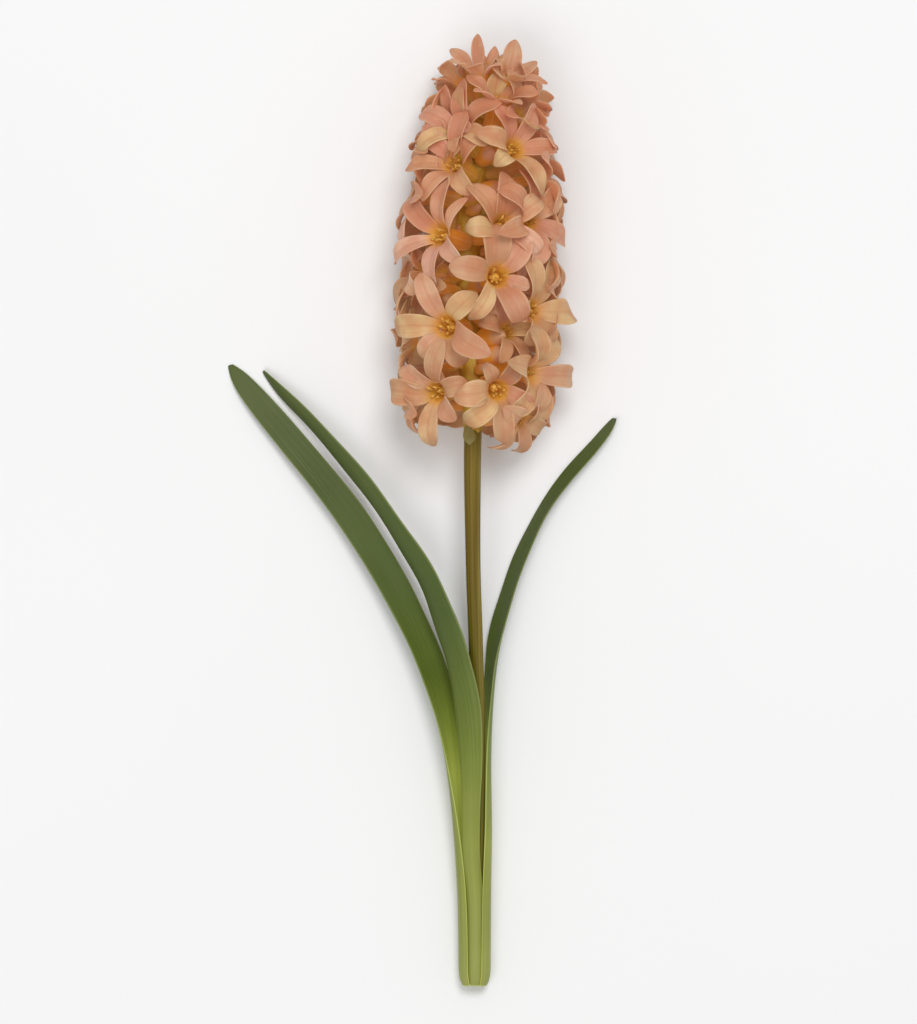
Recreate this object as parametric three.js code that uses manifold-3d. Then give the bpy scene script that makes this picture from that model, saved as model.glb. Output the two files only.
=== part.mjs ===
// A cut hyacinth lying on a table: one flowering stem with its raceme of
// six-petalled florets, and three strap leaves that clasp its foot.
// Millimetres. +Z is up, +Y runs from the cut end to the tip of the bloom, and
// the side that faces +Z is the one that is seen first.
import * as THREE from "three";
import { mergeVertices } from "three/addons/utils/BufferGeometryUtils.js";
import Module from "manifold-3d";

const wasm = await Module();
wasm.setup();

// Driving dimensions
const CLEARANCE = 0.3; // gap between a piece and the one it clasps
const STEM_START = 0.8; // the ends of the stem and of its rachis, along Y
const STEM_END = 343;
const STEM_STEP = 12; // between two cross-sections of the stem
const STEM_SIDES = 10;
const BRACT_LENGTH = 8.6;
const BRACT_HALF_WIDTH = 2.6;
const LEAF_THICKNESS = 1.5; // at the midrib
const LEAF_STEP = 9.5; // between two cross-sections of a leaf
const LEAF_FACETS = 3; // on each side of the midrib
const PETAL_LENGTH = 19; // free lobe of a floret, root to tip
const PETAL_HALF_WIDTH = 4.3;
const PETAL_THICKNESS = 1.1; // at the midrib
const PETAL_START = 0.5; // direction at the throat, radians from the axis
const PETAL_SWAY = 2.2; // how far a tip may swing sideways
const PETAL_TURN = 9; // how many degrees a petal may turn round its floret
const THROAT_RADIUS = 3.6; // where the six petals part
const CUP_DEPTH = 3.5;
const TUBE_RADIUS = 2.2; // of a floret's tube where it leaves the core
const TUBE_SUNK = 2; // how deep the tube is rooted in the core
const CORE_RADIUS = 9.5; // the packed pedicels round the rachis
const CORE_SIDES = 8;
const CORE_STEPS = 8;
const BLOOM_START = 211; // the ends of the core, along Y
const BLOOM_END = 349;
const LAST_ROOT = 341; // no floret springs from the rachis past this Y
const TABLE_SOFTNESS = 1.6; // how gradually a petal gives way above the table
const TABLE_PRESS = 0.15; // how far its face would sink in before it is cut flat
const TABLE_CLEAR = 12; // times the softness, above which it is not bent at all

const UP = new THREE.Vector3(0, 0, 1);

// A smooth curve through [position, value] pairs, as a function of position.
function curveThrough(knots) {
  const slope = knots.map((knot, i) => {
    const before = knots[Math.max(i - 1, 0)];
    const after = knots[Math.min(i + 1, knots.length - 1)];
    return (after[1] - before[1]) / (after[0] - before[0]);
  });
  return (at) => {
    let i = 0;
    while (i < knots.length - 2 && at > knots[i + 1][0]) i += 1;
    const span = knots[i + 1][0] - knots[i][0];
    const t = THREE.MathUtils.clamp((at - knots[i][0]) / span, 0, 1);
    const [p0, p1] = [knots[i][1], knots[i + 1][1]];
    const [m0, m1] = [slope[i] * span, slope[i + 1] * span];
    const bend = 2 * (p0 - p1) + m0 + m1;
    return p0 + t * (m0 + t * (p1 - p0 - m0 - bend + t * bend));
  };
}

// The stem's centre line and radius along Y. It climbs from the foot, which
// lies on the table, to the bloom, which rests on its own lower petals.
const stemX = curveThrough([
  [0, 0],
  [86, 1.2],
  [130, 0.1],
  [162, -0.9],
  [208, -0.8],
  [250, 1.2],
  [300, 3.0],
  [335, 5.0],
  [360, 7.0],
]);
const stemZ = curveThrough([
  [0, 5.0],
  [48, 7.6],
  [86, 11.2],
  [120, 15.0],
  [162, 19.6],
  [207, 23.2],
  [245, 24.4],
  [290, 23.2],
  [330, 20.4],
  [360, 17.8],
]);
const stemRadius = curveThrough([
  [0, 2.6],
  [113, 2.7],
  [162, 2.8],
  [208, 3.3],
  [245, 3.0],
  [283, 2.6],
  [320, 2.0],
  [345, 1.3],
]);

function stemPoint(y) {
  return new THREE.Vector3(stemX(y), y, stemZ(y));
}

// Unit vectors along the stem, away from the table and to the right of it.
function stemFrame(y) {
  const along = stemPoint(y + 0.5).sub(stemPoint(y - 0.5)).normalize();
  const up = UP.clone().addScaledVector(along, -UP.dot(along)).normalize();
  return { along, up, right: along.clone().cross(up) };
}

// A ring of points round the stem's centre line.
function ringAt(y, radius, sides) {
  const { up, right } = stemFrame(y);
  return Array.from({ length: sides }, (_, j) => {
    const turn = (j / sides) * 2 * Math.PI;
    return stemPoint(y)
      .addScaledVector(up, radius * Math.sin(turn))
      .addScaledVector(right, -radius * Math.cos(turn));
  });
}

// A repeatable scatter between -1 and 1 for floret `index`.
function scatter(index, salt) {
  const v = Math.sin(index * 12.9898 + salt * 78.233) * 43758.5453;
  return 2 * (v - Math.floor(v)) - 1;
}

function geometryOf(points, triangles) {
  const geometry = new THREE.BufferGeometry().setFromPoints(points);
  geometry.setIndex(triangles.flat());
  return geometry;
}

// Rings of equally many points, wound counter-clockwise about the direction
// in which they follow each other, closed by a fan at both ends.
function skin(rings) {
  const sides = rings[0].length;
  const points = rings.flat();
  const triangles = [];
  for (let i = 0; i + 1 < rings.length; i += 1)
    for (let j = 0; j < sides; j += 1) {
      const [a, b] = [i * sides + j, i * sides + ((j + 1) % sides)];
      triangles.push([a, b, b + sides], [a, b + sides, a + sides]);
    }
  const last = (rings.length - 1) * sides;
  for (let j = 0; j < sides; j += 1) {
    const k = (j + 1) % sides;
    triangles.push([points.length, k, j]);
    triangles.push([points.length + 1, last + j, last + k]);
  }
  const middle = (ring) =>
    ring
      .reduce((sum, p) => sum.add(p), new THREE.Vector3())
      .divideScalar(sides);
  points.push(middle(rings[0]), middle(rings.at(-1)));
  return geometryOf(points, triangles);
}

function solidOf(geometry) {
  const bare = geometry.clone();
  bare.deleteAttribute("normal");
  bare.deleteAttribute("uv");
  const merged = mergeVertices(bare, 1e-4);
  return new wasm.Manifold(
    new wasm.Mesh({
      numProp: 3,
      vertProperties: new Float32Array(merged.attributes.position.array),
      triVerts: new Uint32Array(merged.index.array),
    }),
  );
}

function geometryOfSolid(solid) {
  const { vertProperties, triVerts, numProp } = solid.getMesh();
  const positions = new Float32Array((vertProperties.length / numProp) * 3);
  for (let i = 0; i * numProp < vertProperties.length; i += 1)
    positions.set(vertProperties.subarray(i * numProp, i * numProp + 3), i * 3);
  const geometry = new THREE.BufferGeometry();
  geometry.setAttribute("position", new THREE.BufferAttribute(positions, 3));
  geometry.setIndex(new THREE.BufferAttribute(triVerts, 1));
  geometry.computeVertexNormals();
  return geometry;
}

// The largest piece, so that a cut leaves no loose scrap behind.
function largestOf(solid) {
  return solid.decompose().sort((a, b) => b.volume() - a.volume())[0];
}

// A round bar along the stem's centre line, `extra` thicker than the stem.
function stemBar(from, to, extra) {
  const steps = Math.ceil((to - from) / STEM_STEP);
  const rings = [];
  for (let i = 0; i <= steps; i += 1) {
    const y = from + ((to - from) * i) / steps;
    rings.push(ringAt(y, stemRadius(y) + extra, STEM_SIDES));
  }
  return solidOf(skin(rings));
}

// The small bract under the lowest florets, a scale that points back down the
// stem and stands a little off its upper side. A row holds a share of its
// length from the tip and the share of its full width there.
const BRACT_ROWS = [
  [0, 0.35],
  [0.35, 1],
  [0.7, 0.8],
  [0.92, 0.4],
];
const BRACT_TIP_Y = 205.4;
const BRACT_SIDE = -1.2; // of its midline from the stem's, to the right
const BRACT_STAND = 0.9; // of its tip from the stem
const BRACT_SUNK = 0.6;
// Its cross-section, as shares of the half-width and heights.
const BRACT_SECTION = [
  [-1, -0.5],
  [-0.6, 0.3],
  [0, 0.6],
  [0.6, 0.3],
  [1, -0.5],
  [0, -0.9],
];

function bract(extra) {
  const rings = BRACT_ROWS.map(([share, width]) => {
    const y = BRACT_TIP_Y + share * BRACT_LENGTH;
    const { up, right } = stemFrame(y);
    const across = BRACT_HALF_WIDTH * width + extra;
    const rise = stemRadius(y) - BRACT_SUNK + BRACT_STAND * (1 - share);
    return BRACT_SECTION.map(([side, height]) =>
      stemPoint(y)
        .addScaledVector(right, BRACT_SIDE + across * side)
        .addScaledVector(up, rise + height + extra * Math.sign(height)),
    );
  });
  return solidOf(skin(rings));
}

function stem() {
  return stemBar(STEM_START, STEM_END, 0).add(bract(0));
}

// Each leaf is a channelled strap. A row holds, at one place Y along the leaf:
// X and Z of the midrib, half the width, the direction the channel faces
// (degrees from straight up, positive towards +X) and the channel's radius.
const LEFT_LEAF = [
  [0, -5.3, 3.6, 7.2, 75, 5.1],
  [34, -5.8, 5.3, 7.2, 74, 5.3],
  [60, -7.2, 6.9, 7.1, 68, 6.4],
  [84, -9.2, 7.5, 6.9, 58, 9],
  [102, -11.7, 7.5, 6.8, 47, 12],
  [118, -15.8, 7.3, 6.5, 37, 16],
  [134, -22.0, 6.7, 6.4, 29, 20],
  [153.5, -31.8, 5.7, 6.3, 22, 23],
  [175, -44.9, 4.7, 6.1, 17, 24],
  [191, -56.8, 3.9, 5.8, 15, 24],
  [205, -68.3, 3.1, 5.5, 14, 22],
  [219, -80.0, 2.0, 5.0, 13, 20],
  [229, -88.2, 1.0, 3.9, 12, 18],
  [233.6, -91.6, 0.5, 2.5, 12, 18],
  [236, -93.2, 0.3, 0.9, 12, 18],
];
const FRONT_LEAF = [
  [0, 0.2, 8.4, 3.3, 180, 3.4],
  [20, 0.1, 9.4, 3.4, 180, 3.5],
  [34, -0.1, 10.9, 3.7, 180, 4.0],
  [51, -1.5, 13.3, 4.3, 178, 5.6],
  [69, -1.5, 15.2, 4.9, 172, 7.5],
  [82, -1.5, 16.5, 5.4, 165, 9],
  [96, -2.3, 17.8, 5.9, 157, 11],
  [109, -3.9, 18.9, 6.1, 148, 12],
  [122, -6.9, 19.5, 6.4, 138, 13],
  [137, -11.8, 19.4, 6.7, 130, 14],
  [154, -18.5, 18.2, 6.5, 124, 15],
  [170, -28.0, 16.0, 5.8, 120, 16],
  [186, -38.9, 13.3, 5.1, 118, 16],
  [201, -50.8, 10.0, 4.2, 117, 15],
  [214.7, -63.0, 6.6, 3.5, 116, 13],
  [226, -74.1, 3.6, 2.8, 116, 12],
  [233.8, -80.6, 1.7, 1.3, 116, 12],
];
const RIGHT_LEAF = [
  [0, 5.2, 3.9, 6.8, -80, 5.1],
  [34, 5.4, 5.6, 6.6, -80, 5.3],
  [60, 5.7, 7.3, 6.4, -80, 6.4],
  [84, 5.4, 8.3, 6.2, -80, 8.5],
  [103, 5.8, 8.5, 6.1, -76, 10],
  [121, 7.1, 8.3, 6.0, -70, 11.5],
  [137, 9.7, 7.7, 5.8, -65, 13],
  [151, 13.7, 7.2, 5.3, -61, 14],
  [166, 19.1, 6.7, 4.6, -58, 14.5],
  [180, 26.0, 6.1, 4.0, -56, 14.5],
  [194, 35.9, 5.2, 3.5, -55, 14],
  [205, 45.6, 4.1, 3.3, -54, 13],
  [211.6, 51.0, 2.8, 3.1, -54, 12],
  [214.6, 52.8, 2.0, 2.3, -54, 12],
  [215.8, 53.4, 1.8, 1.2, -54, 12],
];
const LEAF_EDGE_LOSS = 0.65; // of its thickness, from the midrib to the margin
const LEAF_FULL_HALF_WIDTH = 4; // below this a leaf also gets thinner
const LEAF_TIP_SHARE = 0.45; // of the full thickness, at the tip

// One leaf, `extra` thicker and wider all round than it really is.
function leaf(rows, extra) {
  const [first, last] = [rows[0][0], rows.at(-1)[0]];
  const [x, z, halfWidth, facing, radius] = [1, 2, 3, 4, 5].map((column) =>
    curveThrough(rows.map((row) => [row[0], row[column]])),
  );
  const centre = (y) => new THREE.Vector3(x(y), y, z(y));
  const steps = Math.round((last - first) / LEAF_STEP);
  const rings = [];
  for (let i = 0; i <= steps; i += 1) {
    const y = first + ((last - first) * i) / steps;
    const along = centre(y + 0.5).sub(centre(y - 0.5)).normalize();
    const turn = THREE.MathUtils.degToRad(facing(y));
    const inward = new THREE.Vector3(Math.sin(turn), 0, Math.cos(turn));
    inward.addScaledVector(along, -inward.dot(along)).normalize();
    const side = inward.clone().cross(along);
    const reach = halfWidth(y) + extra;
    const thin = THREE.MathUtils.clamp(
      reach / LEAF_FULL_HALF_WIDTH,
      LEAF_TIP_SHARE,
      1,
    );
    const pointAt = (share, face) => {
      const angle = (share * reach) / radius(y);
      const taper = thin * (1 - LEAF_EDGE_LOSS * share * share);
      const thickness = LEAF_THICKNESS * taper + 2 * extra;
      const depth = radius(y) - (face * thickness) / 2;
      return centre(y)
        .addScaledVector(side, depth * Math.sin(angle))
        .addScaledVector(inward, radius(y) - depth * Math.cos(angle));
    };
    const ring = [pointAt(1, 0)];
    for (let k = LEAF_FACETS - 1; k > -LEAF_FACETS; k -= 1)
      ring.push(pointAt(k / LEAF_FACETS, 1));
    ring.push(pointAt(-1, 0));
    for (let k = 1 - LEAF_FACETS; k < LEAF_FACETS; k += 1)
      ring.push(pointAt(k / LEAF_FACETS, -1));
    rings.push(ring);
  }
  return solidOf(skin(rings));
}

// The florets on the upper side, placed by eye: where the throat is along Y,
// the direction it faces (degrees round the stem from straight up, positive
// to the right), how far it leans towards the tip, its roll and its size.
const UPPER_FLORETS = [
  [217, 60, -34, 20, 0.94],
  [223, -80, -14, 10, 1.0],
  [225, -40, -10, 48, 1.08],
  [227, 22, -8, 33, 1.04],
  [234, 58, -2, 19, 1.12],
  [243, -94, 2, 30, 1.0],
  [249, -30, 2, 30, 1.14],
  [256, 57, 4, 30, 1.14],
  [259, 97, 4, 5, 1.0],
  [269, -82, 6, 12, 1.0],
  [268, 16, 4, 18, 1.1],
  [279, 86, 8, 24, 1.06],
  [283, -42, 8, 56, 1.1],
  [287, 20, 8, 0, 1.04],
  [290, 49, 10, 1, 1.08],
  [299, -84, 10, 18, 1.06],
  [309, -34, 14, 40, 1.0],
  [306, 84, 14, 10, 1.0],
  [316, 34, 16, 28, 1.0],
  [321, -80, 20, 40, 0.92],
  [325, 86, 24, 16, 0.88],
  [321.5, -33, 30, 10, 1.0],
  [329, 50, 28, 36, 0.88],
  [334, 14, 50, 10, 0.88],
  [336, 76, 40, 50, 0.84],
  [342, -78, 42, 14, 0.8],
  [343, 34, 50, 40, 0.8],
  [344, -20, 58, 22, 0.78],
];

// The florets on the table side stand in rows of three, each row turned half
// a step against the one before, and lean and shrink towards the tip.
const LOWER_ROWS = 6;
const LOWER_START = 222;
const LOWER_GAP = 23;
const LOWER_SPREAD = 52; // degrees between neighbours in a row
const LOWER_LEAN = [-8, 38]; // in the first and in the last row
const LOWER_SHRINK = 0.2;
const LOWER_STAGGER = 0.25; // steps that a row is turned off the middle
const LOWER_SCATTER = { y: 2.5, lean: 6, roll: 30, size: 0.05 };

function lowerFlorets() {
  const florets = [];
  for (let row = 0; row < LOWER_ROWS; row += 1)
    for (const place of [-1, 0, 1]) {
      const index = florets.length;
      const stagger = row % 2 ? LOWER_STAGGER : -LOWER_STAGGER;
      const nearTip = (row / (LOWER_ROWS - 1)) ** 2;
      florets.push([
        LOWER_START + LOWER_GAP * row + LOWER_SCATTER.y * scatter(index, 1),
        180 + LOWER_SPREAD * (place + stagger),
        THREE.MathUtils.lerp(...LOWER_LEAN, nearTip) + LOWER_SCATTER.lean * scatter(index, 2),
        LOWER_SCATTER.roll * scatter(index, 3),
        1 - LOWER_SHRINK * nearTip + LOWER_SCATTER.size * scatter(index, 4),
      ]);
    }
  return florets;
}

// The packed pedicels round the rachis, as one tapering body.
const coreRadius = curveThrough([
  [BLOOM_START, 4.8],
  [226, CORE_RADIUS],
  [300, CORE_RADIUS - 1],
  [332, 6],
  [BLOOM_END, 2.6],
]);

// How far a throat stands from the stem's centre line.
const throatReach = curveThrough([
  [212, 20],
  [235, 23],
  [270, 23.2],
  [300, 21.4],
  [320, 17.6],
  [335, 13.6],
  [350, 11],
]);

// The direction of a petal's tip, radians from the floret's axis. The young
// florets near the top are less open.
const petalEnd = curveThrough([
  [215, 2.5],
  [290, 2.35],
  [325, 1.95],
  [350, 1.2],
]);

// The table, at z = 0: petals that would pass through it bend and lie on it.
function restOnTable(point) {
  const over = (point.z + TABLE_PRESS) / TABLE_SOFTNESS;
  if (over < TABLE_CLEAR)
    point.z = TABLE_SOFTNESS * Math.log1p(Math.exp(over)) - TABLE_PRESS;
  return point;
}

// The share of the full half-width at a share of the petal's length.
const ROOT_WIDTH = 0.42;
const WIDEST = 0.52;
const TIP_ROUNDNESS = 1.8; // 2 would be an ellipse

function petalOutline(share) {
  if (share < WIDEST)
    return THREE.MathUtils.lerp(
      ROOT_WIDTH,
      1,
      Math.sin((share / WIDEST) * (Math.PI / 2)),
    );
  return Math.sqrt(1 - ((share - WIDEST) / (1 - WIDEST)) ** TIP_ROUNDNESS);
}

// Shares of the length at which a petal has a cross-section. The petals that
// face the table have fewer.
const UPPER_STATIONS = [0.42, 0.8];
const LOWER_STATIONS = [0.57];
const MIDLINE_ROOT = 0.9; // shares of the throat's radius where the petal's
const KEEL_ROOT = 1.05; // midline and its keel begin

// Where a floret stands and how it is turned.
function floretFrame([throatY, facing, lean, roll]) {
  const reach = throatReach(throatY);
  const tilt = THREE.MathUtils.degToRad(lean);
  const { along, up, right } = stemFrame(throatY);
  const turn = THREE.MathUtils.degToRad(facing);
  const away = new THREE.Vector3()
    .addScaledVector(up, Math.cos(turn))
    .addScaledVector(right, Math.sin(turn));
  const axis = new THREE.Vector3()
    .addScaledVector(away, Math.cos(tilt))
    .addScaledVector(along, Math.sin(tilt));
  const ahead = along.addScaledVector(axis, -along.dot(axis)).normalize();
  const aside = axis.clone().cross(ahead);
  const throat = stemPoint(throatY).addScaledVector(away, reach);
  const rootY = Math.min(throatY - reach * Math.tan(tilt), LAST_ROOT);
  const root = stemPoint(rootY);
  const tube = throat.clone().sub(root).normalize();
  root.addScaledVector(tube, coreRadius(rootY) - TUBE_SUNK);
  // The unit vector at right angles to the axis, `degrees` round it.
  const outward = (degrees) => {
    const angle = THREE.MathUtils.degToRad(roll + degrees);
    return new THREE.Vector3()
      .addScaledVector(ahead, Math.cos(angle))
      .addScaledVector(aside, Math.sin(angle));
  };
  return { throat, root, axis, outward };
}

// The midline of a petal, as a function of the share of its length. Its
// direction turns from the floret's axis outwards, and then rolls back.
function petalMidline({ throat, axis }, out, { rim, length, sway, start, end }) {
  const scale = length / (end - start);
  const across = axis.clone().cross(out);
  return (share) => {
    const heading = THREE.MathUtils.lerp(start, end, share);
    const outwards = scale * (Math.cos(start) - Math.cos(heading));
    const onwards = scale * (Math.sin(heading) - Math.sin(start));
    return throat
      .clone()
      .addScaledVector(out, MIDLINE_ROOT * rim + outwards)
      .addScaledVector(axis, onwards)
      .addScaledVector(across, sway * share * share);
  };
}

// Petals that the rule alone would not put where they are, by floret and petal:
// a turn round the floret in degrees, shares of the usual length and width, and
// a change of the tip's direction in radians.
const PETAL_CHANGES = {
  "1 3": [0, 0.7, 1.0, 0.0],
  "2 1": [-16, 1.12, 1.25, -0.2],
  "2 3": [4, 0.65, 1.0, 0.1],
  "2 4": [0, 0.7, 1.0, 0.3],
  "3 0": [0, 0.5, 0.8, 0.0],
  "3 1": [0, 1.0, 1.2, -0.1],
  "3 2": [-34, 0.85, 1.3, 0.0],
  "3 3": [-28, 1.0, 0.95, 0.0],
  "3 4": [-22, 0.7, 0.9, 0.0],
  "3 5": [0, 0.65, 0.9, 0.0],
  "4 0": [8, 1.0, 1.2, -0.1],
  "4 4": [0, 1.25, 1.1, -0.35],
  "4 5": [0, 1.0, 1.1, 0.0],
  "6 1": [0, 1.05, 1.0, 0.0],
  "6 2": [0, 0.8, 1.0, 0.3],
  "6 3": [0, 0.75, 1.0, 0.3],
  "6 4": [-26, 1.2, 1.05, -0.5],
  "6 5": [-16, 0.75, 1.0, 0.0],
  "7 1": [0, 0.6, 0.9, 0.0],
  "7 2": [0, 0.72, 1.0, 0.1],
  "7 3": [0, 0.72, 1.0, 0.1],
  "7 4": [0, 1.0, 1.05, 0.0],
  "10 0": [-8, 0.95, 1.25, 0.0],
  "10 1": [0, 1.0, 1.15, -0.2],
  "10 2": [15, 0.95, 0.85, 0.0],
  "10 3": [6, 1.0, 1.15, 0.0],
  "10 4": [-14, 0.5, 0.6, 0.0],
  "10 5": [4, 0.9, 1.2, 0.0],
  "12 1": [0, 1.18, 0.8, -0.1],
  "12 3": [0, 0.8, 1.0, 0.2],
  "12 4": [20, 0.9, 0.55, 0.0],
  "13 0": [0, 1.0, 1.2, 0.0],
  "13 1": [-14, 1.1, 1.0, -0.1],
  "13 2": [-18, 0.75, 1.0, 0.0],
  "13 3": [0, 0.6, 1.1, 0.0],
  "13 4": [-5, 0.8, 1.0, 0.0],
  "16 4": [22, 0.85, 0.8, 0.0],
  "18 2": [-28, 0.85, 0.95, 0.0],
  "18 4": [0, 0.85, 1.0, 0.0],
  "22 2": [0, 0.8, 1.1, 0.0],
  "21 2": [0, 1.0, 0.9, 0.3],
  "21 3": [0, 0.7, 0.8, 0.0],
  "21 4": [0, 1.0, 1.0, 0.4],
  "23 0": [0, 0.5, 1.4, 0.0],
  "23 1": [0, 0.8, 1.0, 0.0],
  "23 5": [0, 0.8, 1.0, 0.0],
  "26 0": [0, 0.85, 1.5, 0.0],
  "26 5": [0, 0.9, 1.2, 0.0],
  "27 0": [0, 1.1, 0.8, -0.3],
  "27 1": [0, 0.85, 1.1, 0.0],
};

// How much petals differ: shares of the length and of the width, and radians of
// the direction at the throat and at the tip.
const PETAL_SCATTER = { length: 0.08, width: 0.12, start: 0.12, end: 0.35 };

// The size and the bend of petal `k` of floret `index`.
function petalShape(throatY, size, index, k) {
  const salt = 10 * k;
  const usual = [PETAL_TURN * scatter(index, salt + 77), 1, 1, 0];
  const [turn, longer, wider, rolled] = PETAL_CHANGES[`${index} ${k}`] ?? usual;
  const length = PETAL_LENGTH * size * longer;
  const halfWidth = PETAL_HALF_WIDTH * size * wider;
  return {
    turn,
    rim: THROAT_RADIUS * size,
    length: length * (1 + PETAL_SCATTER.length * scatter(index, salt + 5)),
    halfWidth: halfWidth * (1 + PETAL_SCATTER.width * scatter(index, salt + 6)),
    sway: PETAL_SWAY * scatter(index, salt + 7),
    start: PETAL_START + PETAL_SCATTER.start * scatter(index, salt + 8),
    end: petalEnd(throatY) + PETAL_SCATTER.end * scatter(index, salt + 9) + rolled,
  };
}

// The left, right and back points of a petal's cross-section.
function petalSection(midline, across, halfWidth, share) {
  const half = halfWidth * petalOutline(share);
  const [left, right] = [-half, half].map((shift) =>
    restOnTable(midline(share).addScaledVector(across, shift)),
  );
  const middle = restOnTable(midline(share));
  const ahead = restOnTable(midline(share + 0.02)).sub(middle);
  const front = ahead.cross(right.clone().sub(left)).normalize();
  const back = middle.addScaledVector(front, -PETAL_THICKNESS);
  return { left, right, back };
}

// One floret as a single closed surface: a tube that is rooted in the core, a
// cup at the throat and six petals, each flat on its face and keeled behind.
function floret(place, index, shares) {
  const [throatY, , , , size] = place;
  const frame = floretFrame(place);
  const { throat, root, axis, outward } = frame;
  const rim = THROAT_RADIUS * size;
  const points = [];
  const triangles = [];
  const add = (point) => points.push(point) - 1;
  const addSoft = (point) => add(restOnTable(point));

  const cup = addSoft(throat.clone().addScaledVector(axis, -CUP_DEPTH));
  const feet = [60, 180, 300].map((degrees) =>
    add(root.clone().addScaledVector(outward(degrees), TUBE_RADIUS)),
  );
  triangles.push([feet[0], feet[2], feet[1]]);
  const corners = [30, 90, 150, 210, 270, 330].map((degrees) =>
    addSoft(throat.clone().addScaledVector(outward(degrees), rim)),
  );

  for (let k = 0; k < 6; k += 1) {
    const before = (k + 5) % 6;
    const shape = petalShape(throatY, size, index, k);
    const out = outward(60 * k + shape.turn);
    const across = axis.clone().cross(out);
    const midline = petalMidline(frame, out, shape);
    const sections = shares.map((share) => {
      const { left, right, back } = petalSection(
        midline,
        across,
        shape.halfWidth,
        share,
      );
      return { left: add(left), right: add(right), back: add(back) };
    });
    const tip = addSoft(midline(1));
    const keelRoot = throat.clone().addScaledVector(outward(60 * k), KEEL_ROOT * rim);
    const keel = addSoft(keelRoot.addScaledVector(axis, -PETAL_THICKNESS));

    const [from, to] = [corners[before], corners[k]];
    const [near, far] = [sections[0], sections.at(-1)];
    triangles.push([cup, from, to], [far.left, tip, far.right]);
    triangles.push([from, near.left, near.right], [from, near.right, to]);
    triangles.push([from, near.back, near.left], [from, keel, near.back]);
    triangles.push([keel, to, near.back], [to, near.right, near.back]);
    triangles.push([far.left, far.back, tip], [far.back, far.right, tip]);
    for (let i = 0; i + 1 < sections.length; i += 1) {
      const [a, b] = [sections[i], sections[i + 1]];
      triangles.push([a.left, b.left, b.right], [a.left, b.right, a.right]);
      triangles.push([a.left, b.back, b.left], [a.left, a.back, b.back]);
      triangles.push([a.back, b.right, b.back], [a.back, a.right, b.right]);
    }
    const [footBefore, foot] = [feet[before >> 1], feet[k >> 1]];
    if (foot !== footBefore) triangles.push([footBefore, foot, keel]);
    triangles.push([footBefore, keel, from], [foot, to, keel]);
  }
  return solidOf(geometryOf(points, triangles));
}

function core() {
  const rings = [];
  for (let i = 0; i <= CORE_STEPS; i += 1) {
    const y = THREE.MathUtils.lerp(BLOOM_START, BLOOM_END, i / CORE_STEPS);
    rings.push(ringAt(y, coreRadius(y), CORE_SIDES));
  }
  return solidOf(skin(rings));
}

function bloom(stemHole) {
  const upper = UPPER_FLORETS.map((place, i) => floret(place, i, UPPER_STATIONS));
  const lower = lowerFlorets().map((place, i) =>
    floret(place, upper.length + i, LOWER_STATIONS),
  );
  return wasm.Manifold.union([core(), ...upper, ...lower]).subtract(stemHole);
}

// What lies below the table's surface is cut off flat.
const TABLE_SIZE = [600, 900, 40];

function underTable() {
  const box = new THREE.BoxGeometry(...TABLE_SIZE);
  box.translate(0, 0, -TABLE_SIZE[2] / 2);
  return solidOf(box);
}

const table = underTable();

function piece(name, solid, colour, roughness) {
  const material = new THREE.MeshStandardMaterial({
    color: new THREE.Color().setRGB(...colour, THREE.SRGBColorSpace),
    roughness,
    metalness: 0,
  });
  const onTable = largestOf(solid.subtract(table));
  const mesh = new THREE.Mesh(geometryOfSolid(onTable), material);
  mesh.name = name;
  return mesh;
}

// The front leaf lies against the stem, and the left and right ones wrap both.
const stemSpace = stemBar(-5, STEM_END + 2 * CLEARANCE, CLEARANCE);
const innerSpace = stemSpace.add(leaf(FRONT_LEAF, CLEARANCE));
const frontLeaf = leaf(FRONT_LEAF, 0).subtract(stemSpace);
const leftLeaf = leaf(LEFT_LEAF, 0).subtract(innerSpace);
const rightLeaf = leaf(RIGHT_LEAF, 0)
  .subtract(innerSpace)
  .subtract(leaf(LEFT_LEAF, CLEARANCE));
const wholeBloom = bloom(stemSpace.add(bract(CLEARANCE)));

const plant = new THREE.Group();
plant.name = "hyacinth";
plant.add(
  piece("stem", stem(), [0.44, 0.41, 0.17], 0.55),
  piece("leaf_front", frontLeaf, [0.34, 0.4, 0.22], 0.5),
  piece("leaf_left", leftLeaf, [0.33, 0.38, 0.16], 0.5),
  piece("leaf_right", rightLeaf, [0.36, 0.41, 0.18], 0.5),
  piece("bloom", wholeBloom, [0.82, 0.6, 0.47], 0.65),
);

// The middle of the plant's footprint becomes the origin.
const extent = new THREE.Box3().setFromObject(plant);
const shift = extent.getCenter(new THREE.Vector3()).setZ(extent.min.z).negate();
for (const mesh of plant.children) mesh.geometry.translate(...shift.toArray());

export default plant;
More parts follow.
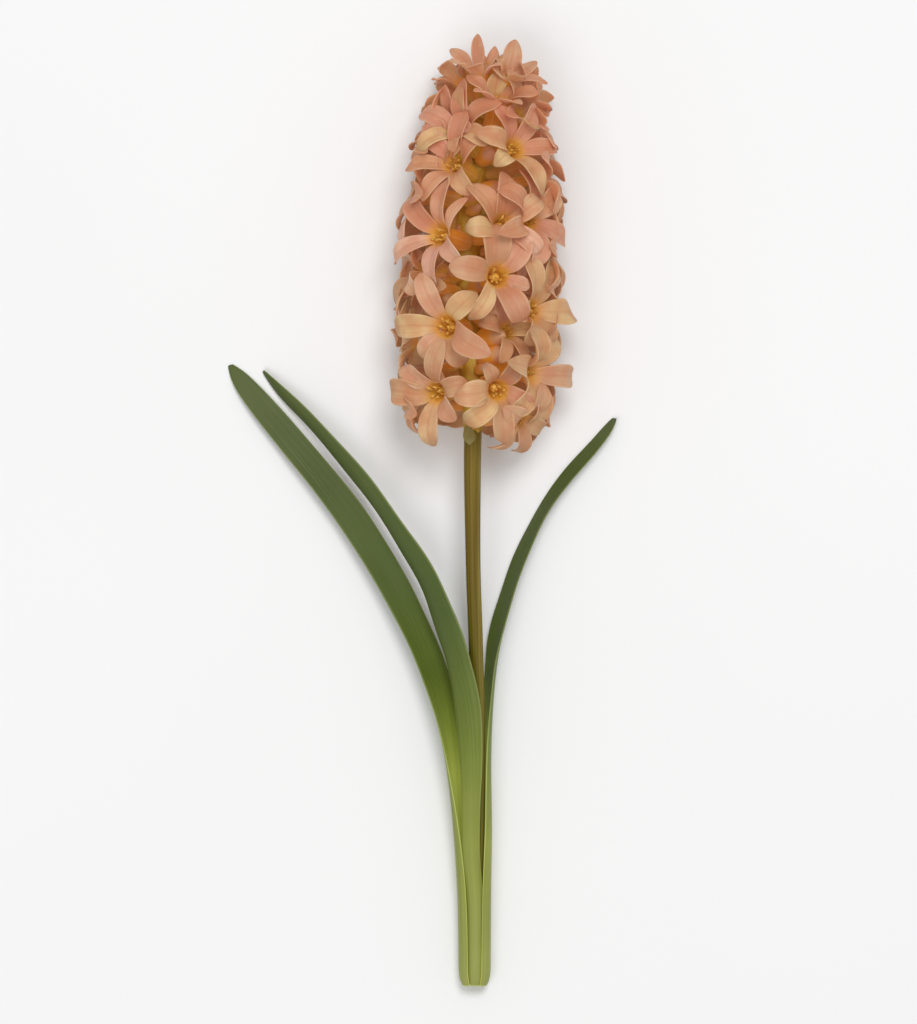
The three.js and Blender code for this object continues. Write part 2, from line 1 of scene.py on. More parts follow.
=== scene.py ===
# The finish of a cut hyacinth that lies on a table: its six-lobed florets with
# their stamens and pedicels, the stem with its bract, and three strap leaves.
# Shapes are worked out in millimetres from the middle of the cut end, with +Y
# towards the tip of the bloom, and placed in the frame when a mesh is made.
import math
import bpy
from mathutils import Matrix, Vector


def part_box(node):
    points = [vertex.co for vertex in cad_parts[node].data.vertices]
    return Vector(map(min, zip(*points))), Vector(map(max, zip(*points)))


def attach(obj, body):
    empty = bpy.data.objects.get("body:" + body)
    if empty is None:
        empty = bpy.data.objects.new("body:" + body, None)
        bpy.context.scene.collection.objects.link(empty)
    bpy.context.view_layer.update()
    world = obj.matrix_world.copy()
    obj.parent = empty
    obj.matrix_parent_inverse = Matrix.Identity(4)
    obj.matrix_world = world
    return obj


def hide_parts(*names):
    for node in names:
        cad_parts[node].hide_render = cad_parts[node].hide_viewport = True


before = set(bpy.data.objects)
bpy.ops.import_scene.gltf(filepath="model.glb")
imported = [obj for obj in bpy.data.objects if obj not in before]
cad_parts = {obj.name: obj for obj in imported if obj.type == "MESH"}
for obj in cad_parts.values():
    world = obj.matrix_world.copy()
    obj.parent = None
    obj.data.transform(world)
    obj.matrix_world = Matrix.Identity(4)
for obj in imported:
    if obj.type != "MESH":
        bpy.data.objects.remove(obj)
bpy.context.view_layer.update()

from types import SimpleNamespace

import bmesh
import bpy
from mathutils import Vector

MM = 0.001
UP = Vector((0, 0, 1))

# The stem and the bract
STEM_START = 0.8
STEM_END = 343
STEM_STEP = 4
STEM_SIDES = 30
# Its ribs: their height, their number and their turn for each millimetre
STEM_RIBS = (0.07, 5, 0.012)
FOOT_SLICE = 3
BRACT_GRID = (8, 10)
BRACT_TIP_Y = 205.4
BRACT_TIP_ROUNDING = 1.1
BRACT_LENGTH = 8.6
BRACT_HALF_WIDTH = 2.6
BRACT_SIDE = -1.2
BRACT_RISE = 0.1
BRACT_STAND = 0.9
BRACT_WRAP = 1.3
BRACT_THICKNESS = 0.7

# The leaves
LEAF_END = 236
LEAF_THICKNESS = 1.5
LEAF_EDGE_LOSS = 0.65
LEAF_FULL_HALF_WIDTH = 4
LEAF_TIP_SHARE = 0.45
LEAF_STEP = 4
LEAF_COLUMNS = 10
LEAF_SOFTNESS = 0.3
# The ripple of the margins: its height, the Y where it starts and is whole, and
# its waves, in radians for each millimetre along Y and from midrib to margin
LEAF_RIPPLE = 0.25
LEAF_RIPPLE_Y = (80, 140)
LEAF_WAVES = ((0.09, 2), (0.21, -1))
FOOT_ROUNDING = 4.5
FOOT_TUCK = 0.28

# The florets
PETAL_LENGTH = 19
PETAL_HALF_WIDTH = 4.3
PETAL_THICKNESS = 0.55
PETAL_COLUMNS = 4
PETAL_START = 0.5
PETAL_SWAY = 2.2
PETAL_FOLD = 0.15
PETAL_CURL = 1.4
PETAL_TWIST = 0.5
PETAL_TURN = 9
PETAL_ROUNDNESS = 1.65
# How far single petals differ from that, either way
LENGTH_SPREAD = 0.08
WIDTH_SPREAD = 0.12
START_SPREAD = 0.12
END_SPREAD = 0.35
FOLD_SPREAD = 0.6
ROUNDNESS_SPREAD = 0.35
CREAM_SPREAD = 0.42
# The waves of a petal's margins, and the buckle of its whole face
PETAL_RIPPLE = 0.6
RIPPLE_WAVES = 1.4
RIPPLE_SHIFT = 1.3
PETAL_BUCKLE = 0.45
BUCKLE_WAVES = 5.5
THROAT_RADIUS = 3.6
MIDLINE_ROOT = 0.9
TUBE_SUNK = 2
TUBE_BEND = 0.45
LAST_ROOT_Y = 341

# All pieces
ROUNDING = 1
SAME_PLACE = 1e-6
TABLE_SOFTNESS = 1.6
TABLE_CLEARANCE = 0.05
BEND_REACH = 12

# The photograph, in its own pixels, and its scale
PHOTO_SIZE = (917, 1024)
PHOTO_FOOT = (475, 988)
PHOTO_SCALE = 0.378
CAMERA_HEIGHT = 4.0
CAMERA_SENSOR = 36
FOCUS_HEIGHT = 24

# The studio, in metres and watts
WORLD_LIGHT = 0.45
SOFTBOXES = [
    ("key_light", (0.37, 0.96, 2.5), 1.18, 32.5),
    ("fill_light", (-0.5, -0.7, 1.9), 1.2, 8.8),
]
FLOOR_SIZE = 6


def clamp(value, low, high):
    return max(low, min(high, value))


def lerp(a, b, share):
    return a + (b - a) * share


def smooth(low, high, value):
    t = clamp((value - low) / (high - low), 0, 1)
    return t * t * (3 - 2 * t)


def turned(first, second, angle):
    """The direction at `angle` from the first of two crossed ones to the second."""
    return first * math.cos(angle) + second * math.sin(angle)


def curve_through(*knots):
    """A smooth curve through (position, value) pairs, as a function of position."""
    last = len(knots) - 1
    slopes = []
    for i in range(last + 1):
        before, after = knots[max(i - 1, 0)], knots[min(i + 1, last)]
        slopes.append((after[1] - before[1]) / (after[0] - before[0]))

    def at(position):
        i = 0
        while i < last - 1 and position > knots[i + 1][0]:
            i += 1
        span = knots[i + 1][0] - knots[i][0]
        t = clamp((position - knots[i][0]) / span, 0, 1)
        p0, p1 = knots[i][1], knots[i + 1][1]
        m0, m1 = slopes[i] * span, slopes[i + 1] * span
        bend = 2 * (p0 - p1) + m0 + m1
        return p0 + t * (m0 + t * (p1 - p0 - m0 - bend + t * bend))

    return at


def scatter(index, salt):
    """A repeatable draw between -1 and 1: number `salt` of floret or bud `index`."""
    v = math.sin(index * 12.9898 + salt * 78.233) * 43758.5453
    return 2 * (v - math.floor(v)) - 1


def strays(amounts, index, salt):
    """Draws `salt`, `salt` + 1 and so on, each up to its amount either way."""
    return [amount * scatter(index, salt + n) for n, amount in enumerate(amounts)]


# The stem's centre line and radius along Y
stem_x = curve_through(
    (0, 0), (86, 1.2), (130, 0.1), (162, -0.9), (208, -0.8), (250, 1.2), (300, 3), (335, 5),
    (360, 7),
)
stem_z = curve_through(
    (0, 5), (48, 7.6), (86, 11.2), (120, 15), (162, 19.6), (207, 23.2), (245, 24.4),
    (290, 23.2), (330, 20.4), (360, 17.8),
)
stem_radius = curve_through(
    (0, 2.6), (113, 2.7), (162, 2.8), (208, 3.3), (245, 3), (283, 2.6), (320, 2), (345, 1.3)
)
# How far the stem bends aside within the bloom
rachis_shift = curve_through(
    (0, 0), (210, 0), (240, -1.6), (266, -4.6), (290, -5), (318, -2), (343, 0)
)


def stem_point(y):
    return Vector((stem_x(y), y, stem_z(y)))


def rachis_point(y):
    return stem_point(y) + Vector((rachis_shift(y), 0, 0))


def stem_frame(y):
    """Unit vectors along the stem, away from the table and to the right."""
    along = (stem_point(y + 0.5) - stem_point(y - 0.5)).normalized()
    up = (UP - along * UP.dot(along)).normalized()
    return along, up, along.cross(up)


def foot_in_frame():
    """Where the frame has the middle of the stem's cut end."""
    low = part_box("stem")[0]
    ring = [v.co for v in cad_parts["stem"].data.vertices if v.co.y < low.y + FOOT_SLICE * MM]
    corners = [Vector([pick(p[axis] for p in ring) for axis in range(3)]) for pick in (min, max)]
    return (corners[0] + corners[1]) / 2


PLANT_ORIGIN = foot_in_frame() - stem_point(STEM_START) * MM


def in_frame(point):
    """A point of the plant in the frame, kept just clear of the table."""
    return PLANT_ORIGIN + Vector((point.x, point.y, max(point.z, TABLE_CLEARANCE))) * MM


def rest_on_table(point, lift, softness=TABLE_SOFTNESS):
    """Bends a point up so that it stays `lift` above the table at z = 0."""
    over = (point.z - lift) / softness
    if over < BEND_REACH:
        point.z = softness * math.log1p(math.exp(over)) + lift
    return point


# Meshes


def new_patch(bm, columns, rows):
    """A grid of `columns` by `rows` faces, as [(vertex, column, row)]."""
    made = bmesh.ops.create_grid(bm, x_segments=columns, y_segments=rows, size=1)
    return [
        (v, round((v.co.x + 1) / 2 * columns), round((v.co.y + 1) / 2 * rows))
        for v in made["verts"]
    ]


def mark_patch(patch, layer, place):
    """Writes place(column, row) into the UV layer for the patch's corners."""
    where = {v: (column, row) for v, column, row in patch}
    for face in {face for v, _, _ in patch for face in v.link_faces}:
        for loop in face.loops:
            loop[layer].uv = place(*where[loop.vert])


def new_sheet(bm, columns, rows):
    """A patch for a blade, as [(vertex, -1 to 1 across it, 0 to 1 along it)]."""
    layer = bm.loops.layers.uv.new("leaf")
    patch = new_patch(bm, columns, rows)
    mark_patch(patch, layer, lambda column, row: (column / columns, row / rows))
    return [(v, 2 * column / columns - 1, row / rows) for v, column, row in patch]


def tube(bm, sides, rows, point_at, marks=()):
    """A tube of `sides` by `rows` faces. point_at(turn, row) gives its points."""
    patch = new_patch(bm, sides, rows)
    for layer, place in marks:
        mark_patch(patch, layer, place)
    for v, column, row in patch:
        v.co = in_frame(point_at(2 * math.pi * column / sides, row))
    seam = [v for v, column, _ in patch if column in (0, sides)]
    bmesh.ops.remove_doubles(bm, verts=seam, dist=SAME_PLACE)


def spindle(bm, start, end, way, beside, sides, rows, radius_at, marks=()):
    """A straight tube, square to `way`. radius_at(turn, share) is its radius."""
    side = way.cross(beside).normalized()
    back = side.cross(way)

    def point_at(turn, row):
        share = row / rows
        return start.lerp(end, share) + turned(back, side, turn) * radius_at(turn, share)

    tube(bm, sides, rows, point_at, marks)


def close_ends(bm):
    edges = [edge for edge in bm.edges if edge.is_boundary]
    bmesh.ops.holes_fill(bm, edges=edges, sides=0)


def new_object(name, data):
    made = bpy.data.objects.new(name, data)
    bpy.context.scene.collection.objects.link(made)
    return made


def new_mesh(name, bm, materials):
    mesh = bpy.data.meshes.new(name)
    bm.to_mesh(mesh)
    bm.free()
    for material in materials:
        mesh.materials.append(material)
    mesh.shade_smooth()
    return new_object(name, mesh)


def new_piece(name, bm, materials, slot, *nodes):
    """The finished mesh as a piece that stands for `nodes`."""
    piece = new_mesh(name, bm, materials)
    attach(piece, "root")
    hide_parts(*nodes)
    return piece


def thicken(piece, thickness, group=""):
    solidify = piece.modifiers.new("thickness", "SOLIDIFY")
    solidify.thickness = thickness * MM
    solidify.offset = -1
    solidify.vertex_group = group
    solidify.material_offset = len(piece.data.materials) - 1
    solidify.use_rim = True


def round_off(piece):
    subdivision = piece.modifiers.new("rounding", "SUBSURF")
    subdivision.levels = ROUNDING
    subdivision.render_levels = ROUNDING
    subdivision.uv_smooth = "NONE"


# Florets

# On the upper side, one by one: where the throat is along Y, the direction
# it faces (degrees round the stem from straight up, positive to the right),
# how far it leans towards the tip, its roll, its size and its share of cream.
UPPER_FLORETS = [
    (217, 60, -34, 20, 0.94, 0.4),
    (223, -80, -14, 10, 1, 0.4),
    (225, -40, -10, 48, 1.08, 0.5),
    (227, 22, -8, 33, 1.04, 0.55),
    (234, 58, -2, 19, 1.12, 0.5),
    (243, -94, 2, 30, 1, 0.6),
    (249, -30, 2, 30, 1.14, 0.5),
    (256, 57, 4, 30, 1.14, 0.4),
    (259, 97, 4, 5, 1, 0.4),
    (269, -82, 6, 12, 1, 0.2),
    (268, 16, 4, 18, 1.1, 0.1),
    (279, 86, 8, 24, 1.06, 0.2),
    (283, -42, 8, 56, 1.1, 0.1),
    (287, 20, 8, 0, 1.04, 0.15),
    (290, 49, 10, 1, 1.08, 0.1),
    (299, -84, 10, 18, 1.06, 0.1),
    (309, -34, 14, 40, 1, 0.1),
    (306, 84, 14, 10, 1, 0.1),
    (316, 34, 16, 28, 1, 0.2),
    (321, -80, 20, 40, 0.92, 0.1),
    (325, 86, 24, 16, 0.88, 0.1),
    (321.5, -33, 30, 10, 1, 0),
    (329, 50, 28, 36, 0.88, 0.2),
    (334, 14, 50, 10, 0.88, 0.15),
    (336, 76, 40, 50, 0.84, 0.1),
    (342, -78, 42, 14, 0.8, 0.3),
    (343, 34, 50, 40, 0.8, 0.4),
    (344, -20, 58, 22, 0.78, 0.2),
]

# Petals that differ from the rule, by floret and petal: the shares of the usual
# length and of cream, then a turn round the floret in degrees, the share of the
# usual width and a further bend in radians, where NO_CHANGE doesn't hold
NO_CHANGE = (1, 0, 0, 1, 0)
PETAL_CHANGES = {
    0: {4: (0.8, 0.5), 5: (0.7, 0.1)},
    1: {0: (0.75, 0.2), 2: (0.8, 0.7), 3: (0.7, 0.2), 5: (0.85, 0.6, 0, 1, 0.35)},
    2: {
        0: (0.8, 0.15), 1: (1.12, 0.35, -22, 1.25, -0.2), 3: (0.65, 0.1, 4, 1, 0.1),
        4: (0.7, 0.2, 0, 1, 0.3),
    },
    3: {
        0: (0.5, 0.1, 0, 0.8), 1: (1, 0.6, 0, 1.2, -0.1), 2: (0.95, 1, -18, 1.3),
        3: (1, 0.1, -28, 0.95), 4: (0.7, 0, -22, 0.9), 5: (0.65, 0, 0, 0.9),
    },
    4: {0: (1, 0.6, 8, 1.2, -0.1), 4: (1.22, 0.2, 8, 1.1, -0.35), 5: (1, 0.8, 0, 1.1)},
    6: {
        1: (1.05, 0.9), 2: (0.8, 0.3, 0, 1, 0.3), 3: (0.75, 0.2, 0, 1, 0.3),
        4: (1.2, 0.15, -26, 1.05, -0.5), 5: (0.75, 0.95, -16),
    },
    7: {
        1: (0.5, 0.3, 0, 0.9, 0.45), 2: (0.72, 0.5, 0, 1, 0.1), 3: (0.72, 0.5, 0, 1, 0.1),
        4: (1, 0.95, 0, 1.05),
    },
    10: {
        0: (0.95, 0.1, -8, 1.25), 1: (1, 0.15, 0, 1.15, -0.2), 2: (0.95, 0.85, 15, 0.85),
        3: (1, 0.05, 6, 1.15), 4: (0.5, 0.1, -8, 0.6), 5: (0.9, 0.1, 4, 1.2),
    },
    12: {1: (1.18, 0.1, 0, 0.8, -0.1), 3: (0.8, 0.1, 0, 1, 0.2), 4: (0.9, 0.3, 20, 0.55)},
    13: {
        0: (1, 0.1, 0, 1.2), 1: (1.1, 0.2, -14, 1, -0.1), 2: (0.75, 0.85, -18),
        3: (0.36, 0.1, 0, 1.1, -0.4), 4: (0.8, 0.1, -5),
    },
    16: {4: (0.85, 0.1, 22, 0.8)},
    18: {2: (0.85, 1, -28, 0.95), 4: (0.85, 0.1)},
    19: {2: (0.8, 0.1), 4: (0.6, 0.1, 0, 1, 0.5)},
    20: {3: (0.75, 0.2)},
    21: {2: (1, 0.9, 0, 0.9, 0.3), 3: (0.7, 0.3, 0, 0.8), 4: (1, 0.5, 0, 1, 0.4)},
    22: {2: (0.8, 0.9, 0, 1.1), 3: (0.7, 0.1), 4: (0.72, 0.1)},
    23: {0: (0.6, 1, 0, 1.25, -1.1), 1: (0.8, 0.2), 5: (0.8, 0.2)},
    24: {2: (0.65, 0.1), 3: (0.65, 0.2), 5: (0.85, 0.1, 0, 1, 0.1)},
    25: {0: (0.55, 0.1), 1: (0.8, 0.1), 2: (0.6, 0.1), 3: (0.6, 0.1), 5: (0.55, 0.1)},
    26: {0: (0.5, 0.3, 0, 1.2), 1: (0.5, 0.3), 4: (0.75, 0.3, 0, 1.1), 5: (0.9, 0.25, 0, 1.2)},
    27: {0: (1.1, 0.1, 0, 0.8, -0.3), 1: (0.85, 0.2, 0, 1.1), 4: (0.6, 0.1), 5: (0.5, 0.1)},
    29: {3: (0.75, 0.4)},
    30: {3: (0.65, 0.1), 4: (0.75, 0.6)},
    33: {3: (0.65, 0.26)},
    45: {4: (0.75, 0.45), 5: (0.75, 0.1)},
    110: {3: (0.6, 0.1, 0, 1, 0.2)},
}

# On the table side, in rows of three, each turned half a step from the last
LOWER_ROWS = 6
LOWER_START = 222
LOWER_GAP = 23
LOWER_TURN = 52
LOWER_STAGGER = 0.25
LOWER_LEAN = (-8, 38)
LOWER_SHRINK = 0.2
LOWER_CREAM = 0.25
# How far they stray along Y and in lean, roll and size
LOWER_STRAY = (2.5, 6, 30, 0.05)

core_radius = curve_through((211, 4.8), (226, 9.5), (300, 8.5), (332, 6), (349, 2.6))
throat_reach = curve_through(
    (212, 20), (235, 23), (270, 23.2), (300, 21.4), (320, 17.6), (335, 13.6), (350, 11)
)
petal_end = curve_through((215, 2.5), (290, 2.35), (318, 2.05), (330, 1.5), (350, 0.95))

# Smaller florets all round, half hidden under the others, in a spiral
SPIRAL_TURN = 137.5
INNER_COUNT = 58
INNER_START = 218
INNER_GAP = 1.9
INNER_DEPTH = 0.68
INNER_LEAN = 8
INNER_SIZE = 0.84
INNER_SHRINK = 0.15
INNER_CREAM = 0.3
# How far they stray in lean, roll, size and cream
INNER_STRAY = (14, 60, 0.1, 0.3)
# Half the angle that they leave bare on top, and the room round a large floret
INNER_OPENING = 38
INNER_CLEAR_Y = 7
INNER_CLEAR_TURN = 24
# Further ones behind the left outline: Y, direction and depth
FLANK_FLORETS = [
    (256, -98, 0.9), (261, -118, 1), (263, -66, 0.74), (268, -104, 0.9), (236, -66, 0.76),
    (312, -62, 0.72), (316, -76, 0.85), (324, -52, 0.75),
]
FLANK_LEAN = 6
FLANK_ROLL = 20


def is_taken(y, facing):
    """Whether an outer floret's tube passes here, on the upper side."""
    return any(
        abs(y - floret[0]) < INNER_CLEAR_Y and abs(facing - floret[1]) < INNER_CLEAR_TURN
        for floret in UPPER_FLORETS
    )


def inner_florets(first):
    """The hidden florets, up the rachis. On top they leave it bare."""
    for n in range(INNER_COUNT):
        y = INNER_START + INNER_GAP * n
        facing = (SPIRAL_TURN * n + 180) % 360 - 180
        if abs(facing) > INNER_OPENING and not is_taken(y, facing):
            lean, roll, growth, cream = strays(INNER_STRAY, n, 31)
            size = INNER_SIZE * (1 + growth) * (1 - INNER_SHRINK * n / INNER_COUNT)
            place = (y, facing, INNER_LEAN + lean, roll, size, INNER_CREAM + cream, INNER_DEPTH)
            yield floret_frame(first + n, *place)
    for n, (y, facing, depth) in enumerate(FLANK_FLORETS):
        place = (y, facing, FLANK_LEAN, FLANK_ROLL * n, INNER_SIZE, INNER_CREAM, depth)
        yield floret_frame(first + INNER_COUNT + n, *place)


def lower_florets(first):
    for row in range(LOWER_ROWS):
        near_tip = (row / (LOWER_ROWS - 1)) ** 2
        stagger = LOWER_STAGGER if row % 2 else -LOWER_STAGGER
        for column in range(3):
            n = row * 3 + column
            further, lean, roll, growth = strays(LOWER_STRAY, n, 1)
            place = (
                LOWER_START + LOWER_GAP * row + further,
                180 + LOWER_TURN * (column - 1 + stagger),
                lerp(*LOWER_LEAN, near_tip) + lean,
                roll,
                1 - LOWER_SHRINK * near_tip + growth,
                LOWER_CREAM,
            )
            yield floret_frame(first + n, *place)


def all_florets():
    florets = [floret_frame(i, *place) for i, place in enumerate(UPPER_FLORETS)]
    florets += lower_florets(len(florets))
    florets += inner_florets(len(florets))
    return florets


def floret_frame(index, throat_y, facing, lean, roll, size, cream, depth=1):
    """Where a floret stands and how it is turned, from its row in a table. `depth`
    is the share of the usual distance from the stem to the throat."""
    reach = throat_reach(throat_y) * depth
    along, up, right = stem_frame(throat_y)
    tilt = math.radians(lean)
    away = turned(up, right, math.radians(facing))
    axis = turned(away, along, tilt)
    ahead = (along - axis * along.dot(axis)).normalized()
    aside = axis.cross(ahead)
    throat = stem_point(throat_y) + away * reach
    root_y = min(throat_y - reach * math.tan(tilt), LAST_ROOT_Y)
    tube_way = (throat - stem_point(root_y)).normalized()
    root = stem_point(root_y) + tube_way * (core_radius(root_y) - TUBE_SUNK)

    def outward(degrees):
        return turned(ahead, aside, math.radians(roll + degrees))

    return SimpleNamespace(
        index=index, y=throat_y, size=size, cream=cream, rim=THROAT_RADIUS * size, axis=axis,
        throat=throat, root=root, root_y=root_y, tube_way=tube_way, outward=outward,
    )


# A petal is one strip, from the foot of the floret's tube (-1) through the
# throat (0) to the petal's tip (1)
TUBE_STATIONS = (-1, -0.88, -0.55, -0.24, 0)
LOBE_STATIONS = (0.08, 0.19, 0.32, 0.46, 0.6, 0.74, 0.87, 1)
STATIONS = TUBE_STATIONS + LOBE_STATIONS
WIDEST = 0.52
ROOT_WIDTH = 0.42
TIP_ROUNDING = 0.18
TIP_POINT = 0.68
TURN_SHARE = 0.4
tube_girth = curve_through((-1, 1.2), (-0.88, 3), (-0.55, 3.2), (-0.24, 2.5), (0, 3.24))
# The tube is grooved between the petals, and flares there at the throat
TUBE_SEAM = 0.16
CORNER_REACH = 0.36
cup_depth = curve_through((0, 1.2), (0.12, 1), (0.3, 1.1), (0.55, 1), (0.8, 0.7), (1, 0.3))


def petal_outline(share, roundness):
    if share < WIDEST:
        return lerp(ROOT_WIDTH, 1, math.sin(share / WIDEST * math.pi / 2))
    return max(0, 1 - ((share - WIDEST) / (1 - WIDEST)) ** roundness) ** TIP_POINT


def petal_shape(floret, k):
    size = floret.size

    def draw(number, spread):
        return spread * scatter(floret.index, 10 * k + number)

    usual = (1, clamp(floret.cream + draw(75, CREAM_SPREAD), 0, 1), draw(77, PETAL_TURN))
    change = PETAL_CHANGES.get(floret.index, {}).get(k, usual)
    longer, cream, turn, wider, rolled = change + NO_CHANGE[len(change):]
    return SimpleNamespace(
        k=k,
        turn=turn,
        length=PETAL_LENGTH * size * (1 + draw(5, LENGTH_SPREAD)) * longer,
        half_width=PETAL_HALF_WIDTH * size * (1 + draw(6, WIDTH_SPREAD)) * wider,
        roundness=PETAL_ROUNDNESS + draw(78, ROUNDNESS_SPREAD),
        sway=draw(7, PETAL_SWAY),
        start=PETAL_START + draw(8, START_SPREAD),
        end=petal_end(floret.y) + draw(9, END_SPREAD) + rolled,
        fold=PETAL_FOLD * (1 + draw(71, FOLD_SPREAD)),
        curl=draw(72, PETAL_CURL),
        twist=draw(73, PETAL_TWIST),
        phase=draw(74, math.pi),
        cream=cream,
        seed=0.5 + draw(76, 0.5),
    )


def along_bend(start, knee, end, share):
    """A point of a bent line, and the line's direction there."""
    early, late = start.lerp(knee, share), knee.lerp(end, share)
    return early.lerp(late, share), (late - early).normalized()


def tube_point(floret, k, across, station):
    share = 1 + station
    knee = floret.throat - floret.axis * ((floret.throat - floret.root).length * TUBE_BEND)
    middle, way = along_bend(floret.root, knee, floret.throat, share)
    out = floret.outward(60 * k + 30 * across)
    out = (out - way * out.dot(way)).normalized()
    corner = CORNER_REACH * share**3 - TUBE_SEAM * (1 - share**3)
    radius = tube_girth(station) + across * across * corner
    return middle + out * (radius * floret.size)


def channelled(reach, bend):
    """Across a strip that is rolled to a channel: how far out, and how high."""
    angle = reach * bend
    if abs(angle) < 0.01:
        return reach, 0
    return math.sin(angle) / bend, (1 - math.cos(angle)) / bend


def lobe_point(floret, petal, across, share):
    """A point of a petal's free lobe, on its inner face."""
    rounding = share**5
    share -= TIP_ROUNDING * across * across * rounding
    out = floret.outward(60 * petal.k + petal.turn * min(1, share / TURN_SHARE))
    sidelong = floret.axis.cross(out)
    heading = lerp(petal.start, petal.end, share)
    scale = petal.length / (petal.end - petal.start)
    reach = MIDLINE_ROOT * floret.rim + scale * (math.cos(petal.start) - math.cos(heading))
    rise = scale * (math.sin(heading) - math.sin(petal.start))
    sway = petal.sway * share * share
    middle = floret.throat + out * reach + floret.axis * rise + sidelong * sway
    ahead = turned(floret.axis, out, heading)
    ahead += sidelong * (2 * petal.sway * share / petal.length)
    face = ahead.cross(sidelong).normalized()
    twist = petal.twist * share
    sideways = turned(sidelong, face, twist)
    face = turned(face, -sidelong, twist)
    side = 0 if across == 0 else math.copysign(1, across)
    outline = petal_outline(share, petal.roundness)
    spread = petal.half_width * outline * lerp(across, side, rounding)
    spread, height = channelled(spread, petal.fold * cup_depth(share) / floret.size)
    wave = math.sin(2 * math.pi * RIPPLE_WAVES * share + petal.phase + RIPPLE_SHIFT * side)
    height += PETAL_RIPPLE * wave * across * across * share
    height += PETAL_BUCKLE * math.sin(BUCKLE_WAVES * share + 2 * petal.phase) * share
    height -= petal.curl * share**3
    point = middle + sideways * spread + face * (height * floret.size)
    return rest_on_table(point, PETAL_THICKNESS)


def add_floret(bm, floret, petal_layer, tone_layer):
    joined = []
    for k in range(6):
        petal = petal_shape(floret, k)
        patch = new_patch(bm, PETAL_COLUMNS, len(STATIONS) - 1)
        mark_patch(
            patch, petal_layer,
            lambda column, row: (column / PETAL_COLUMNS, (STATIONS[row] + 1) / 2),
        )
        mark_patch(patch, tone_layer, lambda *_: (petal.cream, petal.seed))
        for v, column, row in patch:
            across = 2 * column / PETAL_COLUMNS - 1
            if row < len(TUBE_STATIONS):
                v.co = in_frame(tube_point(floret, k, across, STATIONS[row]))
                joined.append(v)
            else:
                v.co = in_frame(lobe_point(floret, petal, across, STATIONS[row]))
    bmesh.ops.remove_doubles(bm, verts=joined, dist=SAME_PLACE)


# The florets' pieces end at these places of their throats along Y
FLORET_BANDS = (200, 231, 252, 272, 292, 312, 335, 360)


def make_florets(florets, materials):
    for n, (low, high) in enumerate(zip(FLORET_BANDS, FLORET_BANDS[1:])):
        bm = bmesh.new()
        petal_layer = bm.loops.layers.uv.new("petal")
        tone_layer = bm.loops.layers.uv.new("tone")
        for floret in florets:
            if low <= floret.y < high:
                add_floret(bm, floret, petal_layer, tone_layer)
        bmesh.ops.reverse_faces(bm, faces=bm.faces)
        piece = new_piece(f"florets_{n + 1}", bm, materials, "petal", "bloom")
        thicken(piece, PETAL_THICKNESS)
        round_off(piece)


PEDICEL_GRID = (6, 3)
PEDICEL_RADIUS = 1.1
# Shares of that radius: at the rachis, less halfway, and more at the floret
PEDICEL_GIRTH = (1.1, 0.25, 0.15)
PEDICEL_DROP = 1
PEDICEL_IN_TUBE = 0.9


def make_pedicels(florets, material):
    """The short stalks that carry the florets on the rachis."""

    def radius_at(_, share):
        foot, waist, flare = PEDICEL_GIRTH
        return PEDICEL_RADIUS * (foot - waist * math.sin(math.pi * share) + flare * share)

    bm = bmesh.new()
    for floret in florets:
        start = rachis_point(floret.root_y - PEDICEL_DROP)
        end = floret.root + floret.tube_way * PEDICEL_IN_TUBE
        way = (end - start).normalized()
        spindle(bm, start, end, way, floret.outward(0), *PEDICEL_GRID, radius_at)
    close_ends(bm)
    bmesh.ops.recalc_face_normals(bm, faces=bm.faces)
    piece = new_piece("pedicels", bm, [material], "stem", "bloom")
    round_off(piece)


BUD_COUNT = 56
BUD_START = 214
BUD_GAP = 2.3
BUD_SIDES = 8
BUD_ROWS = 6
BUD_REACH = 0.6
BUD_SUNK = 0.8
BUD_RIDGES = 3
BUD_RIDGE_HEIGHT = 0.07
BUD_LEAN = 0.15
BUD_CREAM = 0.2
BUD_GIRTH = 0.9
# How far they stray in lean, cream and girth
BUD_STRAY = (0.2, 0.2, 0.12)
# How much more they lean at the tip, and the Y where that starts and is whole
BUD_TIP_LEAN = 1.1
BUD_TIP_Y = (318, 345)
# The part of a petal's colours that they show, across and along it
BUD_ACROSS = (0.25, 0.75)
BUD_ALONG = (0.1, 0.72)
# Large ones that show between the upper florets: Y, direction, lean towards
# the tip in radians, length in millimetres, girth and share of cream
BIG_BUDS = [
    (215, 34, 0.15, 17, 1.4, 0.2), (221, 44, 0.15, 16.5, 1.3, 0.4), (237, 34, 0.2, 20.5, 1.5, 0.1),
    (245, 30, 0.1, 20.5, 1.5, 0.2), (252, 24, 0.2, 18, 1.3, 0.3), (258, -50, 0.1, 18, 1.3, 0.1),
    (268, -38, 0.2, 18, 1.3, 0.3), (296, -14, 0.2, 17, 1.3, 0.2), (300, 30, 0.1, 18, 1.4, 0.1),
    (312, 12, 0.2, 15, 1.3, 0.3), (318, -6, 0.2, 13, 1.2, 0.1), (330, 20, 0.6, 14, 1.2, 0.2),
    (334, 44, 0.8, 19, 1.15, 0.1), (337, -84, 0.85, 17, 1.2, 0.3), (336, 24, 0.9, 19, 1.15, 0.3),
    (337, 4, 0.95, 21, 1.15, 0.1), (339, -30, 1.1, 15, 1.1, 0.2), (340, 46, 1.1, 15, 1.1, 0.3),
    (341, 10, 1.2, 16, 1.1, 0.1),
]
bud_girth = curve_through((0, 1.2), (0.2, 2.6), (0.5, 2.9), (0.8, 2.1), (0.95, 1), (1, 0.3))


